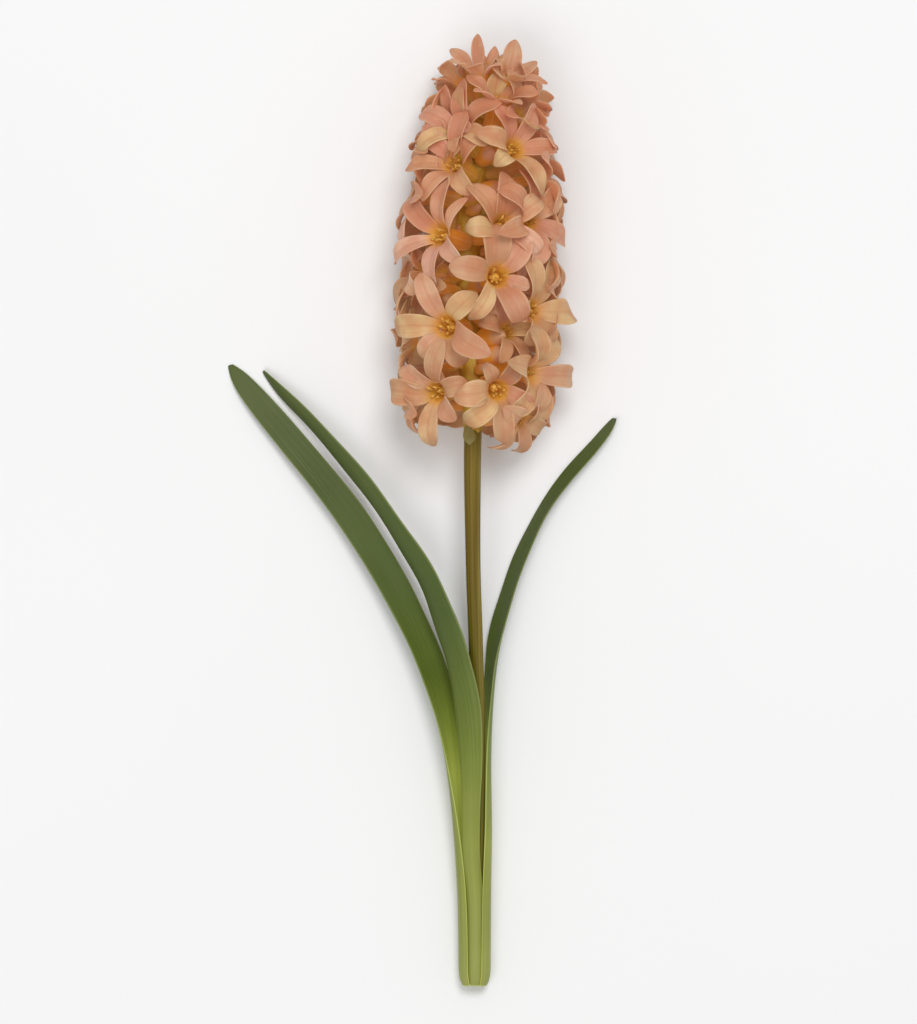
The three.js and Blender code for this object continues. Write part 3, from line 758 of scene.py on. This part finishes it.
def make_buds(materials):
    """Buds that stayed closed, in a spiral between the open florets' tubes."""
    bm = bmesh.new()
    petal_layer = bm.loops.layers.uv.new("petal")
    tone_layer = bm.loops.layers.uv.new("tone")
    places = []
    for n in range(BUD_COUNT):
        y = BUD_START + BUD_GAP * n
        lean, cream, growth = strays(BUD_STRAY, n, 61)
        lean += BUD_LEAN + BUD_TIP_LEAN * smooth(*BUD_TIP_Y, y)
        girth = BUD_GIRTH + growth
        length = throat_reach(y) * BUD_REACH * girth
        places.append((y, SPIRAL_TURN * n, lean, length, girth, BUD_CREAM + cream))
    for n, (y, facing, lean, length, girth, cream) in enumerate(places + BIG_BUDS):
        along, up, right = stem_frame(y)
        away = turned(up, right, math.radians(facing))
        way = turned(away, along, lean)
        start = rachis_point(y) + way * (rachis_radius(y) * BUD_SUNK)
        end = stem_point(y) + way * length
        seed = 0.5 + 0.5 * scatter(n, 64)

        def radius_at(turn, share):
            ridges = 1 + BUD_RIDGE_HEIGHT * math.cos(BUD_RIDGES * turn)
            return bud_girth(share) * girth * ridges

        def petal_place(column, row):
            return lerp(*BUD_ACROSS, column / BUD_SIDES), lerp(*BUD_ALONG, row / BUD_ROWS)

        marks = [(petal_layer, petal_place), (tone_layer, lambda *_: (cream, seed))]
        spindle(bm, start, end, way, along, BUD_SIDES, BUD_ROWS, radius_at, marks)
    close_ends(bm)
    piece = new_piece("buds", bm, materials, "petal", "bloom")
    round_off(piece)


RACHIS_SIDES = 24
RACHIS_STEP = 3
RACHIS_START = 207
rachis_radius = curve_through((207, 2.9), (216, 4), (232, 5), (285, 4.7), (325, 3.2), (345, 1.6))
# Its knobs: their share of the radius, and two waves that make them, by how
# often they go round and radians for each millimetre along Y
KNOB_HEIGHT = 0.09
KNOB_WAVES = ((5, 0.21), (3, -0.34))


def knobbed_radius(turn, y):
    knobs = math.prod(math.sin(count * turn + pitch * y) for count, pitch in KNOB_WAVES)
    return rachis_radius(y) * (1 + KNOB_HEIGHT * knobs)


def ribbed_radius(turn, y):
    height, count, pitch = STEM_RIBS
    return stem_radius(y) + height * math.sin(count * turn + pitch * y)


def make_rod(name, node, start, step, sides, radius_at, material):
    """The scape, or the thick rachis round it, from Y `start` to the stem's end."""
    rows = round((STEM_END - start) / step)
    bm = bmesh.new()
    layer = bm.loops.layers.uv.new("stem")

    def point_at(turn, row):
        y = lerp(start, STEM_END, row / rows)
        _, up, right = stem_frame(y)
        return rachis_point(y) + turned(up, right, turn) * radius_at(turn, y)

    marks = [(layer, lambda column, row: (column / sides, row / rows))]
    tube(bm, sides, rows, point_at, marks)
    close_ends(bm)
    return new_piece(name, bm, [material], "stem", node)


STAMEN_SIDES = 5
STAMEN_ROWS = 6
STAMEN_TURN = 14
# Outward and up from the throat of a floret of size 1, in millimetres: the
# filament's foot, and how far its knee and its anther are and stray
STAMEN_FOOT = (2, -4)
KNEE_OUT = (1.5, 0.6)
KNEE_UP = (0.6, 0.8)
ANTHER_OUT = (2.1, 1.2)
ANTHER_UP = (1.7, 1)
ANTHER_ASIDE = 2.2
stamen_girth = curve_through(
    (0, 0.3), (0.45, 0.24), (0.55, 0.5), (0.7, 0.52), (0.92, 0.44), (1, 0.16)
)
# The ovary and its stigma: how deep they sit, half their length and their
# radius, in millimetres, and their faces round and along
OVARY_BEADS = ((4.2, 2.8, 2, 8, 6), (1.5, 1.4, 0.56, 6, 5))


def add_stamen(bm, floret, k):
    """A thin filament with its anther."""
    size, axis, throat = floret.size, floret.axis, floret.throat

    def draw(usual, spread, number):
        return usual + spread * scatter(floret.index, number)

    out = floret.outward(draw(60 * k + 30, STAMEN_TURN, 90 + k))
    aside = axis.cross(out)
    foot = throat + (out * STAMEN_FOOT[0] + axis * STAMEN_FOOT[1]) * size
    knee = throat + (out * draw(*KNEE_OUT, 100 + k) + axis * draw(*KNEE_UP, 81)) * size
    reach = out * draw(*ANTHER_OUT, 110 + k) + axis * draw(*ANTHER_UP, 120 + k)
    tip = throat + (reach + aside * draw(0, ANTHER_ASIDE, 130 + k)) * size

    def point_at(turn, row):
        share = row / STAMEN_ROWS
        middle, way = along_bend(foot, knee, tip, share)
        side = way.cross(aside).normalized()
        return middle + turned(side, way.cross(side), turn) * (stamen_girth(share) * size)

    tube(bm, STAMEN_SIDES, STAMEN_ROWS, point_at)


def add_bead(bm, middle, way, half_length, radius, segments, rings):
    """A small long body, rounded at both ends."""
    side = way.cross(UP if abs(way.z) < 0.9 else Vector((1, 0, 0))).normalized()
    back = side.cross(way)
    made = bmesh.ops.create_uvsphere(bm, u_segments=segments, v_segments=rings, radius=1)
    for v in made["verts"]:
        x, y, z = v.co
        v.co = in_frame(middle + (back * x + side * y) * radius + way * (z * half_length))


def make_stamens(florets, anther_material, ovary_material):
    """Six stamens inside every throat, round an ovary with its stigma."""
    stamens, ovaries = bmesh.new(), bmesh.new()
    for floret in florets:
        size, axis, throat = floret.size, floret.axis, floret.throat
        for k in range(6):
            add_stamen(stamens, floret, k)
        for depth, half_length, radius, *faces in OVARY_BEADS:
            middle = throat - axis * (depth * size)
            add_bead(ovaries, middle, axis, half_length * size, radius * size, *faces)
    close_ends(stamens)
    pieces = (("stamens", stamens, anther_material), ("ovaries", ovaries, ovary_material))
    for name, bm, material in pieces:
        bmesh.ops.recalc_face_normals(bm, faces=bm.faces)
        new_piece(name, bm, [material], "petal", "bloom")


# Bract

bract_width = curve_through((0, 0.5), (0.12, 0.86), (0.4, 1.05), (0.7, 0.9), (1, 0.5))


def make_bract(materials):
    """A scale under the lowest florets that points back down the stem."""
    bm = bmesh.new()
    for v, across, share in new_sheet(bm, *BRACT_GRID):
        rounding = BRACT_TIP_ROUNDING * across * across * (1 - share) ** 3
        y = BRACT_TIP_Y + share * BRACT_LENGTH + rounding
        _, up, right = stem_frame(y)
        rise = stem_radius(y) + BRACT_RISE + BRACT_STAND * (1 - share)
        rise -= BRACT_WRAP * across * across
        half = BRACT_HALF_WIDTH * bract_width(share)
        v.co = in_frame(stem_point(y) + right * (BRACT_SIDE + half * across) + up * rise)
    bmesh.ops.recalc_face_normals(bm, faces=bm.faces)
    piece = new_piece("bract", bm, materials, "leaf", "stem")
    thicken(piece, BRACT_THICKNESS)
    round_off(piece)


# Leaves

# A row holds, at one place Y along the leaf: X and Z of the midrib, half the
# width, the direction the channel faces (degrees from straight up, positive
# towards +X) and the channel's radius.
LEAF_ROWS = {
    "leaf_left": [
        (0, -5.3, 3.6, 7.2, 75, 5.1), (34, -5.8, 5.3, 7.2, 74, 5.3),
        (60, -7.2, 6.9, 7.1, 68, 6.4), (84, -9.2, 7.5, 6.9, 58, 9),
        (102, -11.7, 7.5, 6.8, 47, 12), (118, -15.8, 7.3, 6.5, 37, 16),
        (134, -22, 6.7, 6.4, 29, 20), (153.5, -31.8, 5.7, 6.3, 22, 23),
        (175, -44.9, 4.7, 6.1, 17, 24), (191, -56.8, 3.9, 5.8, 15, 24),
        (205, -68.3, 3.1, 5.5, 14, 22), (219, -80, 2, 5, 13, 20), (229, -88.2, 1, 3.9, 12, 18),
        (233.6, -91.6, 0.5, 2.5, 12, 18), (236, -93.2, 0.3, 0.9, 12, 18),
    ],
    "leaf_front": [
        (0, 0.2, 9, 3.6, 180, 3.6), (20, 0.1, 9.9, 3.7, 180, 3.7), (34, -0.1, 11.1, 3.8, 180, 4),
        (51, -1.5, 13.3, 3.7, 178, 5.6), (69, -1.6, 15.2, 3.8, 172, 7.5),
        (82, -1.7, 16.5, 4.5, 165, 9), (96, -2.4, 17.8, 5.4, 157, 11),
        (109, -3.9, 18.9, 6.1, 148, 12), (122, -6.9, 19.5, 6.4, 138, 13),
        (137, -11.8, 19.4, 6.7, 130, 14), (154, -18.5, 18.2, 6.5, 124, 15),
        (170, -28, 16, 5.8, 120, 16), (186, -38.9, 13.3, 5.1, 118, 16),
        (201, -50.8, 10, 4.2, 117, 15), (214.7, -63, 6.6, 3.5, 116, 13),
        (226, -74.1, 3.6, 2.8, 116, 12), (233.8, -80.6, 1.7, 1.3, 116, 12),
    ],
    "leaf_right": [
        (0, 5.2, 3.9, 6.8, -80, 5.1), (34, 5.4, 5.6, 6.6, -80, 5.3),
        (60, 5.7, 7.3, 6.4, -80, 6.4), (84, 5.4, 8.3, 6.2, -80, 8.5),
        (103, 5.8, 8.5, 6.1, -76, 10), (121, 7.1, 8.3, 6, -70, 11.5),
        (137, 9.7, 7.7, 5.8, -65, 13), (151, 13.7, 7.2, 5.3, -61, 14),
        (166, 19.1, 6.7, 4.6, -58, 14.5), (180, 26, 6.1, 4, -56, 14.5),
        (194, 35.9, 5.2, 3.5, -55, 14), (205, 45.6, 4.1, 3.3, -54, 13),
        (211.6, 51, 2.8, 3.1, -54, 12), (214.6, 52.8, 2, 2.3, -54, 12),
        (215.8, 53.4, 1.8, 1.2, -54, 12),
    ],
}


def make_leaf(name, materials):
    """A channelled strap, thick at the midrib and thin at its margins."""
    table = LEAF_ROWS[name]
    first, last = table[0][0], table[-1][0]
    x, z, half_width, facing, radius = (
        curve_through(*[(row[0], row[column]) for row in table]) for column in range(1, 6)
    )
    rows = round((last - first) / LEAF_STEP)
    bm = bmesh.new()
    weights = bm.verts.layers.deform.new()

    def centre(y):
        return Vector((x(y), y, z(y)))

    for v, across, share in new_sheet(bm, LEAF_COLUMNS, rows):
        y = lerp(first, last, share)
        along = (centre(y + 0.5) - centre(y - 0.5)).normalized()
        turn = math.radians(facing(y))
        inward = Vector((math.sin(turn), 0, math.cos(turn)))
        inward = (inward - along * inward.dot(along)).normalized()
        side = inward.cross(along)
        reach = half_width(y)
        thin = clamp(reach / LEAF_FULL_HALF_WIDTH, LEAF_TIP_SHARE, 1)
        taper = thin * (1 - LEAF_EDGE_LOSS * across * across)
        depth = radius(y) - LEAF_THICKNESS * taper / 2
        angle = across * reach / radius(y)
        rise = radius(y) - depth * math.cos(angle)
        point = centre(y) + side * (depth * math.sin(angle)) + inward * rise
        ripple = sum(math.sin(pitch * y + slant * across) for pitch, slant in LEAF_WAVES)
        growth = across * across * smooth(*LEAF_RIPPLE_Y, y)
        point += inward * (LEAF_RIPPLE * ripple * growth)
        near_foot = 1 - smooth(0, FOOT_ROUNDING, y - first)
        point = point.lerp(stem_point(point.y), FOOT_TUCK * near_foot**2)
        facing_up = turned(inward, -side, angle).z
        rest_on_table(point, LEAF_THICKNESS * taper * max(0, facing_up), LEAF_SOFTNESS)
        v.co = in_frame(point)
        v[weights][0] = taper
    bmesh.ops.reverse_faces(bm, faces=bm.faces)
    piece = new_piece(name + "_blade", bm, materials, "leaf", name)
    piece.vertex_groups.new(name="thickness")
    thicken(piece, LEAF_THICKNESS, "thickness")
    round_off(piece)


# Materials


def tone(red, green, blue):
    """A colour as it looks on a screen, 0 to 255, for a node."""
    shares = [value / 255 for value in (red, green, blue)]
    linear = [c / 12.92 if c < 0.0404 else ((c + 0.055) / 1.055) ** 2.4 for c in shares]
    return (*linear, 1)


def ramp_stops(*rows):
    """A ramp's stops, from rows of a position, red, green and blue."""
    return [(position, tone(*colour)) for position, *colour in rows]


def feed(tree, socket, value):
    """Links `value` to an input socket, or sets it there."""
    if isinstance(value, bpy.types.NodeSocket):
        tree.links.new(value, socket)
    else:
        socket.default_value = value


def add(tree, kind, inputs=None, **settings):
    """A shader node with its settings, and with values or links for its inputs."""
    made = tree.nodes.new("ShaderNode" + kind)
    for name, value in settings.items():
        setattr(made, name, value)
    for name, value in (inputs or {}).items():
        feed(tree, made.inputs[name], value)
    return made


def ramp(tree, factor, *stops):
    """A colour that follows `factor` through (position, colour) stops."""
    made = add(tree, "ValToRGB", {"Fac": factor})
    elements = made.color_ramp.elements
    while len(elements) < len(stops):
        elements.new(1)
    for element, (position, colour) in zip(elements, stops):
        element.position = position
        element.color = colour
    return made.outputs["Color"]


# The mix node's sockets for colours, by number because several share a name
MIX_INPUTS = (0, 6, 7)
MIX_RESULT = 2


def mix(tree, factor, a, b):
    made = add(tree, "Mix", data_type="RGBA")
    for number, value in zip(MIX_INPUTS, (factor, a, b)):
        feed(tree, made.inputs[number], value)
    return made.outputs[MIX_RESULT]


def maths(tree, operation, *values):
    made = add(tree, "Math", operation=operation)
    for socket, value in zip(made.inputs, values):
        feed(tree, socket, value)
    return made.outputs[0]


def tint(tree, colour, other, mask, share):
    """`colour` with up to `share` of the other one where the mask is 1."""
    return mix(tree, maths(tree, "MULTIPLY", mask, share), colour, other)


def fade(tree, value, start, end, low=0, high=1, shape="SMOOTHSTEP"):
    """`value` from start to end, as a step from low to high."""
    inputs = {"Value": value, "From Min": start, "From Max": end, "To Min": low, "To Max": high}
    return add(tree, "MapRange", inputs, interpolation_type=shape).outputs["Result"]


def by_place(tree, axis, start, end, low=0, high=1, shape="SMOOTHSTEP"):
    """A fade from `start` to `end` on the plant, in millimetres along an axis."""
    place = add(tree, "TexCoord").outputs["Object"]
    value = add(tree, "SeparateXYZ", {"Vector": place}).outputs[axis]
    origin = PLANT_ORIGIN["XYZ".index(axis)]
    return fade(tree, value, origin + start * MM, origin + end * MM, low, high, shape)


def uv(tree, layer):
    place = add(tree, "UVMap", uv_map=layer).outputs["UV"]
    parts = add(tree, "SeparateXYZ", {"Vector": place})
    return parts.outputs["X"], parts.outputs["Y"]


def from_midrib(tree, across):
    """0 on the midrib to 1 at both margins."""
    return maths(tree, "ABSOLUTE", maths(tree, "MULTIPLY_ADD", across, 2, -1))


def new_group(name, inputs, output):
    """An empty node group with its inputs' defaults and one number as output."""
    group = bpy.data.node_groups.new(name, "ShaderNodeTree")
    for label, default in inputs.items():
        kind = "NodeSocketVector" if default is None else "NodeSocketFloat"
        socket = group.interface.new_socket(label, in_out="INPUT", socket_type=kind)
        if default is not None:
            socket.default_value = default
    group.interface.new_socket(output, in_out="OUTPUT", socket_type="NodeSocketFloat")
    result = group.nodes.new("NodeGroupOutput").inputs[output]
    return group, group.nodes.new("NodeGroupInput").outputs, result


def fibre_group():
    """Fine veins that run lengthwise, from a place across and along a blade."""
    group, given, result = new_group("fibres", FIBRE_INPUTS, "Height")
    x = maths(group, "MULTIPLY", given["Across"], given["Count"])
    y = maths(group, "MULTIPLY", given["Along"], given["Length"])
    z = maths(group, "MULTIPLY", given["Seed"], SEED_STEP)
    place = add(group, "CombineXYZ", {"X": x, "Y": y, "Z": z}).outputs[0]
    inputs = {"Vector": place, "Scale": 1, "Detail": NOISE_DETAIL, "Roughness": 0.6}
    noise = add(group, "TexNoise", inputs).outputs["Fac"]
    feed(group, result, fade(group, noise, 0.3, 0.7))
    return group


def patch_group():
    """Soft patches, from a place on the plant in metres."""
    group, given, result = new_group("patches", {"Place": None, "Size": 100}, "Amount")
    inputs = {"Vector": given["Place"], "Scale": given["Size"], "Detail": NOISE_DETAIL}
    noise = add(group, "TexNoise", inputs).outputs["Fac"]
    feed(group, result, fade(group, noise, 0.35, 0.65))
    return group


FIBRE_INPUTS = {"Across": 0, "Along": 0, "Seed": 0, "Count": 20, "Length": 2}
# How far apart the noise of two seeds is taken, and its layers
SEED_STEP = 37
NOISE_DETAIL = 2
FIBRES = fibre_group()
PATCHES = patch_group()


def fibres(tree, *values):
    """The fibres' height, from values or links in the order of FIBRE_INPUTS."""
    inputs = dict(zip(FIBRE_INPUTS, values))
    return add(tree, "Group", inputs, node_tree=FIBRES).outputs["Height"]


def patches(tree, size):
    place = add(tree, "TexCoord").outputs["Object"]
    inputs = {"Place": place, "Size": size}
    return add(tree, "Group", inputs, node_tree=PATCHES).outputs["Amount"]


def new_material(name, **constants):
    """A material whose shader has these constants on its own sockets."""
    material = bpy.data.materials.new(name)
    material.use_nodes = True
    tree = material.node_tree
    shader = tree.nodes["Principled BSDF"]
    for label, value in constants.items():
        shader.inputs[label.replace("_", " ")].default_value = value
    return material, tree, shader


def dress(tree, shader, colour, grain, roughness, strength, distance):
    """The skin's colour, and a grain that makes it rougher and raises it."""
    feed(tree, shader.inputs["Base Color"], colour)
    feed(tree, shader.inputs["Roughness"], fade(tree, grain, 0, 1, *roughness))
    inputs = {"Height": grain, "Strength": strength, "Distance": distance * MM}
    relief = add(tree, "Bump", inputs).outputs["Normal"]
    feed(tree, shader.inputs["Normal"], relief)


def paint_glow(tree, shader, colour, mask):
    """A painted glow: emission in the skin's own colour where the mask is 1, standing in for light
    that comes through the thin skin.
    """
    feed(tree, shader.inputs["Emission Color"], mix(tree, mask, BLACK, colour))


BLACK = (0, 0, 0, 1)
GOLD = tone(212, 158, 54)
OLIVE_GOLD = tone(178, 142, 34)
OCHRE = tone(212, 158, 84)
ORANGE = tone(210, 136, 34)
BUFF = tone(194, 162, 62)
YOUNG = tone(202, 132, 98)
FADED = tone(186, 148, 112)
PALE_TIP = tone(206, 164, 140)
# Painted shade for the petals near the table
SHADED = tone(156, 128, 92)
CORAL = tone(186, 110, 72)
CREAM = tone(214, 184, 132)
# Olive at the tips of cream petals: partly their own colour, partly painted shade where the tips
# curl away
OLIVE_CREAM = tone(158, 140, 94)
# Painted highlight on the petals' outer lobes and margins
PAINTED_HIGHLIGHT = tone(230, 202, 168)
# The shades that single petals have, by their seed
FACE_SHADES = ramp_stops(
    (0, 226, 184, 164), (0.2, 212, 156, 134), (0.4, 194, 132, 104),
    (0.6, 174, 134, 96), (0.75, 194, 136, 100), (1, 168, 106, 78),
)
BACK_SHADES = ramp_stops(
    (0, 202, 156, 132), (0.2, 196, 138, 110), (0.4, 188, 124, 92),
    (0.6, 170, 130, 86), (0.75, 190, 130, 88), (1, 168, 100, 70),
)
# Tones that come in over a part of the plant: its axis, start and end in
# millimetres, and the tone's shares there
LOBE_TONES = [
    (("Y", 250, 335, 0, 0.5), YOUNG),
    (("Y", 335, 353, 0, 0.6), PALE_TIP),
    (("Y", 225, 300, 0.5, 0), FADED),
]
# Painted shade: the petals darker and greyer the nearer they lie to the table, by Z in millimetres
PAINTED_TABLE_SHADE = ("Z", 8, 42, 0.55, 0)
# Others over a part of each petal, as shares of the way from the tube's foot
# through the throat (0.5) to the tip, or from midrib to margin
THROAT_END = (0.49, 0.61)
# Painted highlight over the outer part of the lobes
LOBE_MIDDLE = (0.6, 0.8, 0, 0.2)
MIDRIB_START = (0.45, 0.6)
MIDRIB = (0, 0.2, 0.25, 0)
# Painted highlight along the margins
MARGIN = (0.8, 1, 0, 0.16)
# Where the painted glow falls from full in the tube to the lobes' share
TUBE_END = (0.46, 0.6)
# The seeds of the florets' petals whose throats turn olive
OLIVE_SEEDS = (0.45, 0.95, 0, 0.9)
PETAL_VEINS = (14, 1.6)


def petal_material(name, throat, shades, lobe_painted_glow):
    """One face of the petals: `throat` where they join, `shades` further out."""
    material, tree, shader = new_material(
        name, Subsurface_Weight=0.4, Subsurface_Scale=1.6 * MM, Subsurface_Radius=(1, 0.6, 0.35),
        Specular_IOR_Level=0.35, Emission_Strength=0.2,
    )
    across, along = uv(tree, "petal")
    cream, seed = uv(tree, "tone")
    margin = from_midrib(tree, across)
    in_throat = ramp(tree, along, (0, BUFF), (0.2, throat), (0.5, throat), (0.6, OCHRE))
    in_throat = mix(tree, fade(tree, seed, *OLIVE_SEEDS), in_throat, OLIVE_GOLD)
    pink = ramp(tree, seed, *shades)
    # Painted highlight over the outer part of the lobe
    pink = mix(tree, fade(tree, along, *LOBE_MIDDLE), pink, PAINTED_HIGHLIGHT)
    for part, lobe_tone in LOBE_TONES:
        pink = mix(tree, by_place(tree, *part), pink, lobe_tone)
    # Towards the tip: partly its own olive colour, partly painted shade where the tip curls away
    pale = ramp(tree, along, (0.6, CREAM), (0.84, CREAM), (1, OLIVE_CREAM))
    lobe = mix(tree, cream, pink, pale)
    colour = mix(tree, fade(tree, along, *THROAT_END), in_throat, lobe)
    # Painted shade near the table
    colour = mix(tree, by_place(tree, *PAINTED_TABLE_SHADE), colour, SHADED)
    colour = tint(tree, colour, CORAL, patches(tree, size=130), share=0.4)
    veins = fibres(tree, across, along, seed, *PETAL_VEINS)
    colour = tint(tree, colour, CORAL, veins, share=0.2)
    midrib = fade(tree, margin, *MIDRIB)
    colour = tint(tree, colour, CORAL, midrib, fade(tree, along, *MIDRIB_START))
    # Painted highlight along the margins
    colour = mix(tree, fade(tree, margin, *MARGIN), colour, PAINTED_HIGHLIGHT)
    # Painted glow, full in the tube and less on the lobes, lifts their shade
    paint_glow(tree, shader, colour, fade(tree, along, *TUBE_END, 1, lobe_painted_glow))
    dress(tree, shader, colour, veins, (0.5, 0.62), 0.35, 0.15)
    return material


# The leaves' colours, by the share of their length
LEAF_FACE = ramp_stops(
    (0, 184, 188, 92), (0.34, 176, 186, 82), (0.43, 136, 150, 56), (0.5, 98, 114, 38),
    (0.62, 84, 99, 36), (0.8, 82, 95, 40), (1, 96, 106, 58),
)
LEAF_FACE_DEEP = tone(58, 76, 24)
LEAF_BACK = ramp_stops(
    (0, 172, 176, 96), (0.16, 168, 172, 84), (0.3, 154, 162, 72), (0.38, 126, 140, 56),
    (0.47, 112, 126, 52), (0.6, 86, 101, 46), (1, 94, 104, 58),
)
LEAF_BACK_DEEP = tone(60, 78, 32)
BRACT = ramp_stops((0, 172, 166, 108), (1, 168, 156, 98))
BRACT_DEEP = tone(122, 112, 60)
LEAF_EDGE = tone(164, 172, 112)
# Where the leaves' pale edge comes in, along them and towards the margin, and
# where the painted glow of the thin sheath ends
EDGE_START = (0.12, 0.3)
EDGE_MARGIN = (0.88, 1, 0, 0.4)
SHEATH_END = (0.34, 0.5, 1, 0)
LEAF_VEINS = (0.3, 40, 3)


def leaf_material(name, stops, deep, glow):
    """One face of the leaves, from the pale foot to the dark blade, by `stops`.
    `glow` is the strength of a painted glow, emission that stands in for light through the thin
    sheath."""
    material, tree, shader = new_material(
        name, Subsurface_Weight=0.05, Subsurface_Scale=1 * MM,
        Specular_IOR_Level=0.22, Emission_Strength=glow,
    )
    across, along = uv(tree, "leaf")
    share = by_place(tree, "Y", 0, LEAF_END, shape="LINEAR")
    colour = ramp(tree, share, *stops)
    veins = fibres(tree, across, along, *LEAF_VEINS)
    colour = tint(tree, colour, deep, veins, share=0.3)
    colour = tint(tree, colour, deep, patches(tree, size=25), share=0.2)
    edge = fade(tree, from_midrib(tree, across), *EDGE_MARGIN)
    colour = tint(tree, colour, LEAF_EDGE, edge, fade(tree, share, *EDGE_START))
    # Painted glow in the sheath near the foot, lifting its shade
    paint_glow(tree, shader, colour, fade(tree, share, *SHEATH_END))
    dress(tree, shader, colour, veins, (0.4, 0.52), 0.4, 0.12)
    return material


# The stem's colours along it, the painted light on its right side, and its streaks
STEM = ramp_stops(
    (0, 92, 100, 40), (0.25, 64, 76, 22), (0.33, 110, 104, 24), (0.5, 116, 96, 28),
    (0.62, 128, 110, 32), (0.7, 190, 160, 70), (1, 200, 160, 70),
)
STEM_PAINTED_LIGHT = tone(166, 150, 74)
STEM_STREAK = tone(82, 62, 14)
# Where the painted light on the right side starts and ends, as shares of the way round
PAINTED_LIGHT_START = (0.02, 0.12)
PAINTED_LIGHT_END = (0.4, 0.24)
STREAKS = (0.7, 16, 5)


def stem_material():
    material, tree, shader = new_material(
        "stem_skin", Subsurface_Weight=0.05, Subsurface_Scale=1 * MM, Specular_IOR_Level=0.22
    )
    around, along = uv(tree, "stem")
    colour = ramp(tree, along, *STEM)
    # Painted light: a lighter band down the right side
    starts, ends = fade(tree, around, *PAINTED_LIGHT_START), fade(tree, around, *PAINTED_LIGHT_END)
    colour = tint(tree, colour, STEM_PAINTED_LIGHT, maths(tree, "MULTIPLY", starts, ends), share=0.5)
    streaks = fibres(tree, around, along, *STREAKS)
    colour = tint(tree, colour, STEM_STREAK, streaks, share=0.6)
    dress(tree, shader, colour, streaks, (0.42, 0.55), 0.4, 0.15)
    return material


def grain_material(name, light, dark, size, roughness):
    """A small fleshy part: two shades in fine grains."""
    material, tree, shader = new_material(name, Subsurface_Weight=0.15, Subsurface_Scale=1 * MM)
    grains = patches(tree, size)
    colour = mix(tree, grains, tone(*light), tone(*dark))
    dress(tree, shader, colour, grains, (roughness, roughness + 0.15), 0.5, 0.1)
    return material


# Studio


def make_floor():
    bm = bmesh.new()
    bmesh.ops.create_grid(bm, x_segments=1, y_segments=1, size=FLOOR_SIZE)
    material, tree, shader = new_material("floor_paper", Roughness=0.9, Specular_IOR_Level=0.1)
    shade = mix(tree, patches(tree, size=3), tone(247, 247, 247), tone(245, 245, 245))
    feed(tree, shader.inputs["Base Color"], shade)
    new_mesh("floor", bm, [material])


def make_light():
    world = bpy.data.worlds.new("studio")
    world.use_nodes = True
    background = world.node_tree.nodes["Background"]
    background.inputs["Color"].default_value = (1, 1, 1, 1)
    background.inputs["Strength"].default_value = WORLD_LIGHT
    bpy.context.scene.world = world
    bpy.context.scene.view_settings.view_transform = "Standard"
    for name, location, width, power in SOFTBOXES:
        light = bpy.data.lights.new(name, "AREA")
        light.shape = "DISK"
        light.size = width
        light.energy = power
        lamp = new_object(name, light)
        lamp.location = location
        lamp.rotation_mode = "QUATERNION"
        lamp.rotation_quaternion = (-Vector(location)).to_track_quat("-Z", "Y")
        lamp.visible_camera = False


def make_camera():
    """Straight above the middle of the photograph's frame, with a long lens."""
    width, height = PHOTO_SIZE
    data = bpy.data.cameras.new("camera")
    data.sensor_width = CAMERA_SENSOR
    data.lens = CAMERA_SENSOR * CAMERA_HEIGHT / (height * PHOTO_SCALE * MM)
    camera = new_object("camera", data)
    middle = Vector((width / 2 - PHOTO_FOOT[0], PHOTO_FOOT[1] - height / 2, 0)) * PHOTO_SCALE
    camera.location = in_frame(middle + UP * FOCUS_HEIGHT) + UP * CAMERA_HEIGHT
    bpy.context.scene.camera = camera


make_camera()
make_light()
make_floor()
petal_faces = [
    petal_material("petal_face", GOLD, FACE_SHADES, 0.45),
    petal_material("petal_back", ORANGE, BACK_SHADES, 0.9),
]
leaf_faces = [
    leaf_material("leaf_face", LEAF_FACE, LEAF_FACE_DEEP, 0.32),
    leaf_material("leaf_back", LEAF_BACK, LEAF_BACK_DEEP, 0.03),
]
florets = all_florets()
make_florets(florets, petal_faces)
make_pedicels(florets, grain_material("pedicel_skin", (214, 176, 84), (206, 150, 66), 300, 0.5))
rachis_skin = grain_material("rachis_skin", (208, 178, 66), (190, 146, 44), 220, 0.5)
rachis = (RACHIS_START, RACHIS_STEP, RACHIS_SIDES, knobbed_radius, rachis_skin)
round_off(make_rod("rachis", "bloom", *rachis))
make_buds(petal_faces[1:])
make_stamens(
    florets,
    grain_material("anther_pollen", (228, 182, 84), (196, 136, 50), 1500, 0.6),
    grain_material("ovary_skin", (244, 200, 96), (234, 180, 74), 800, 0.45),
)
make_rod("scape", "stem", STEM_START, STEM_STEP, STEM_SIDES, ribbed_radius, stem_material())
make_bract([leaf_material("bract_skin", BRACT, BRACT_DEEP, 0)])
for leaf in LEAF_ROWS:
    make_leaf(leaf, leaf_faces)
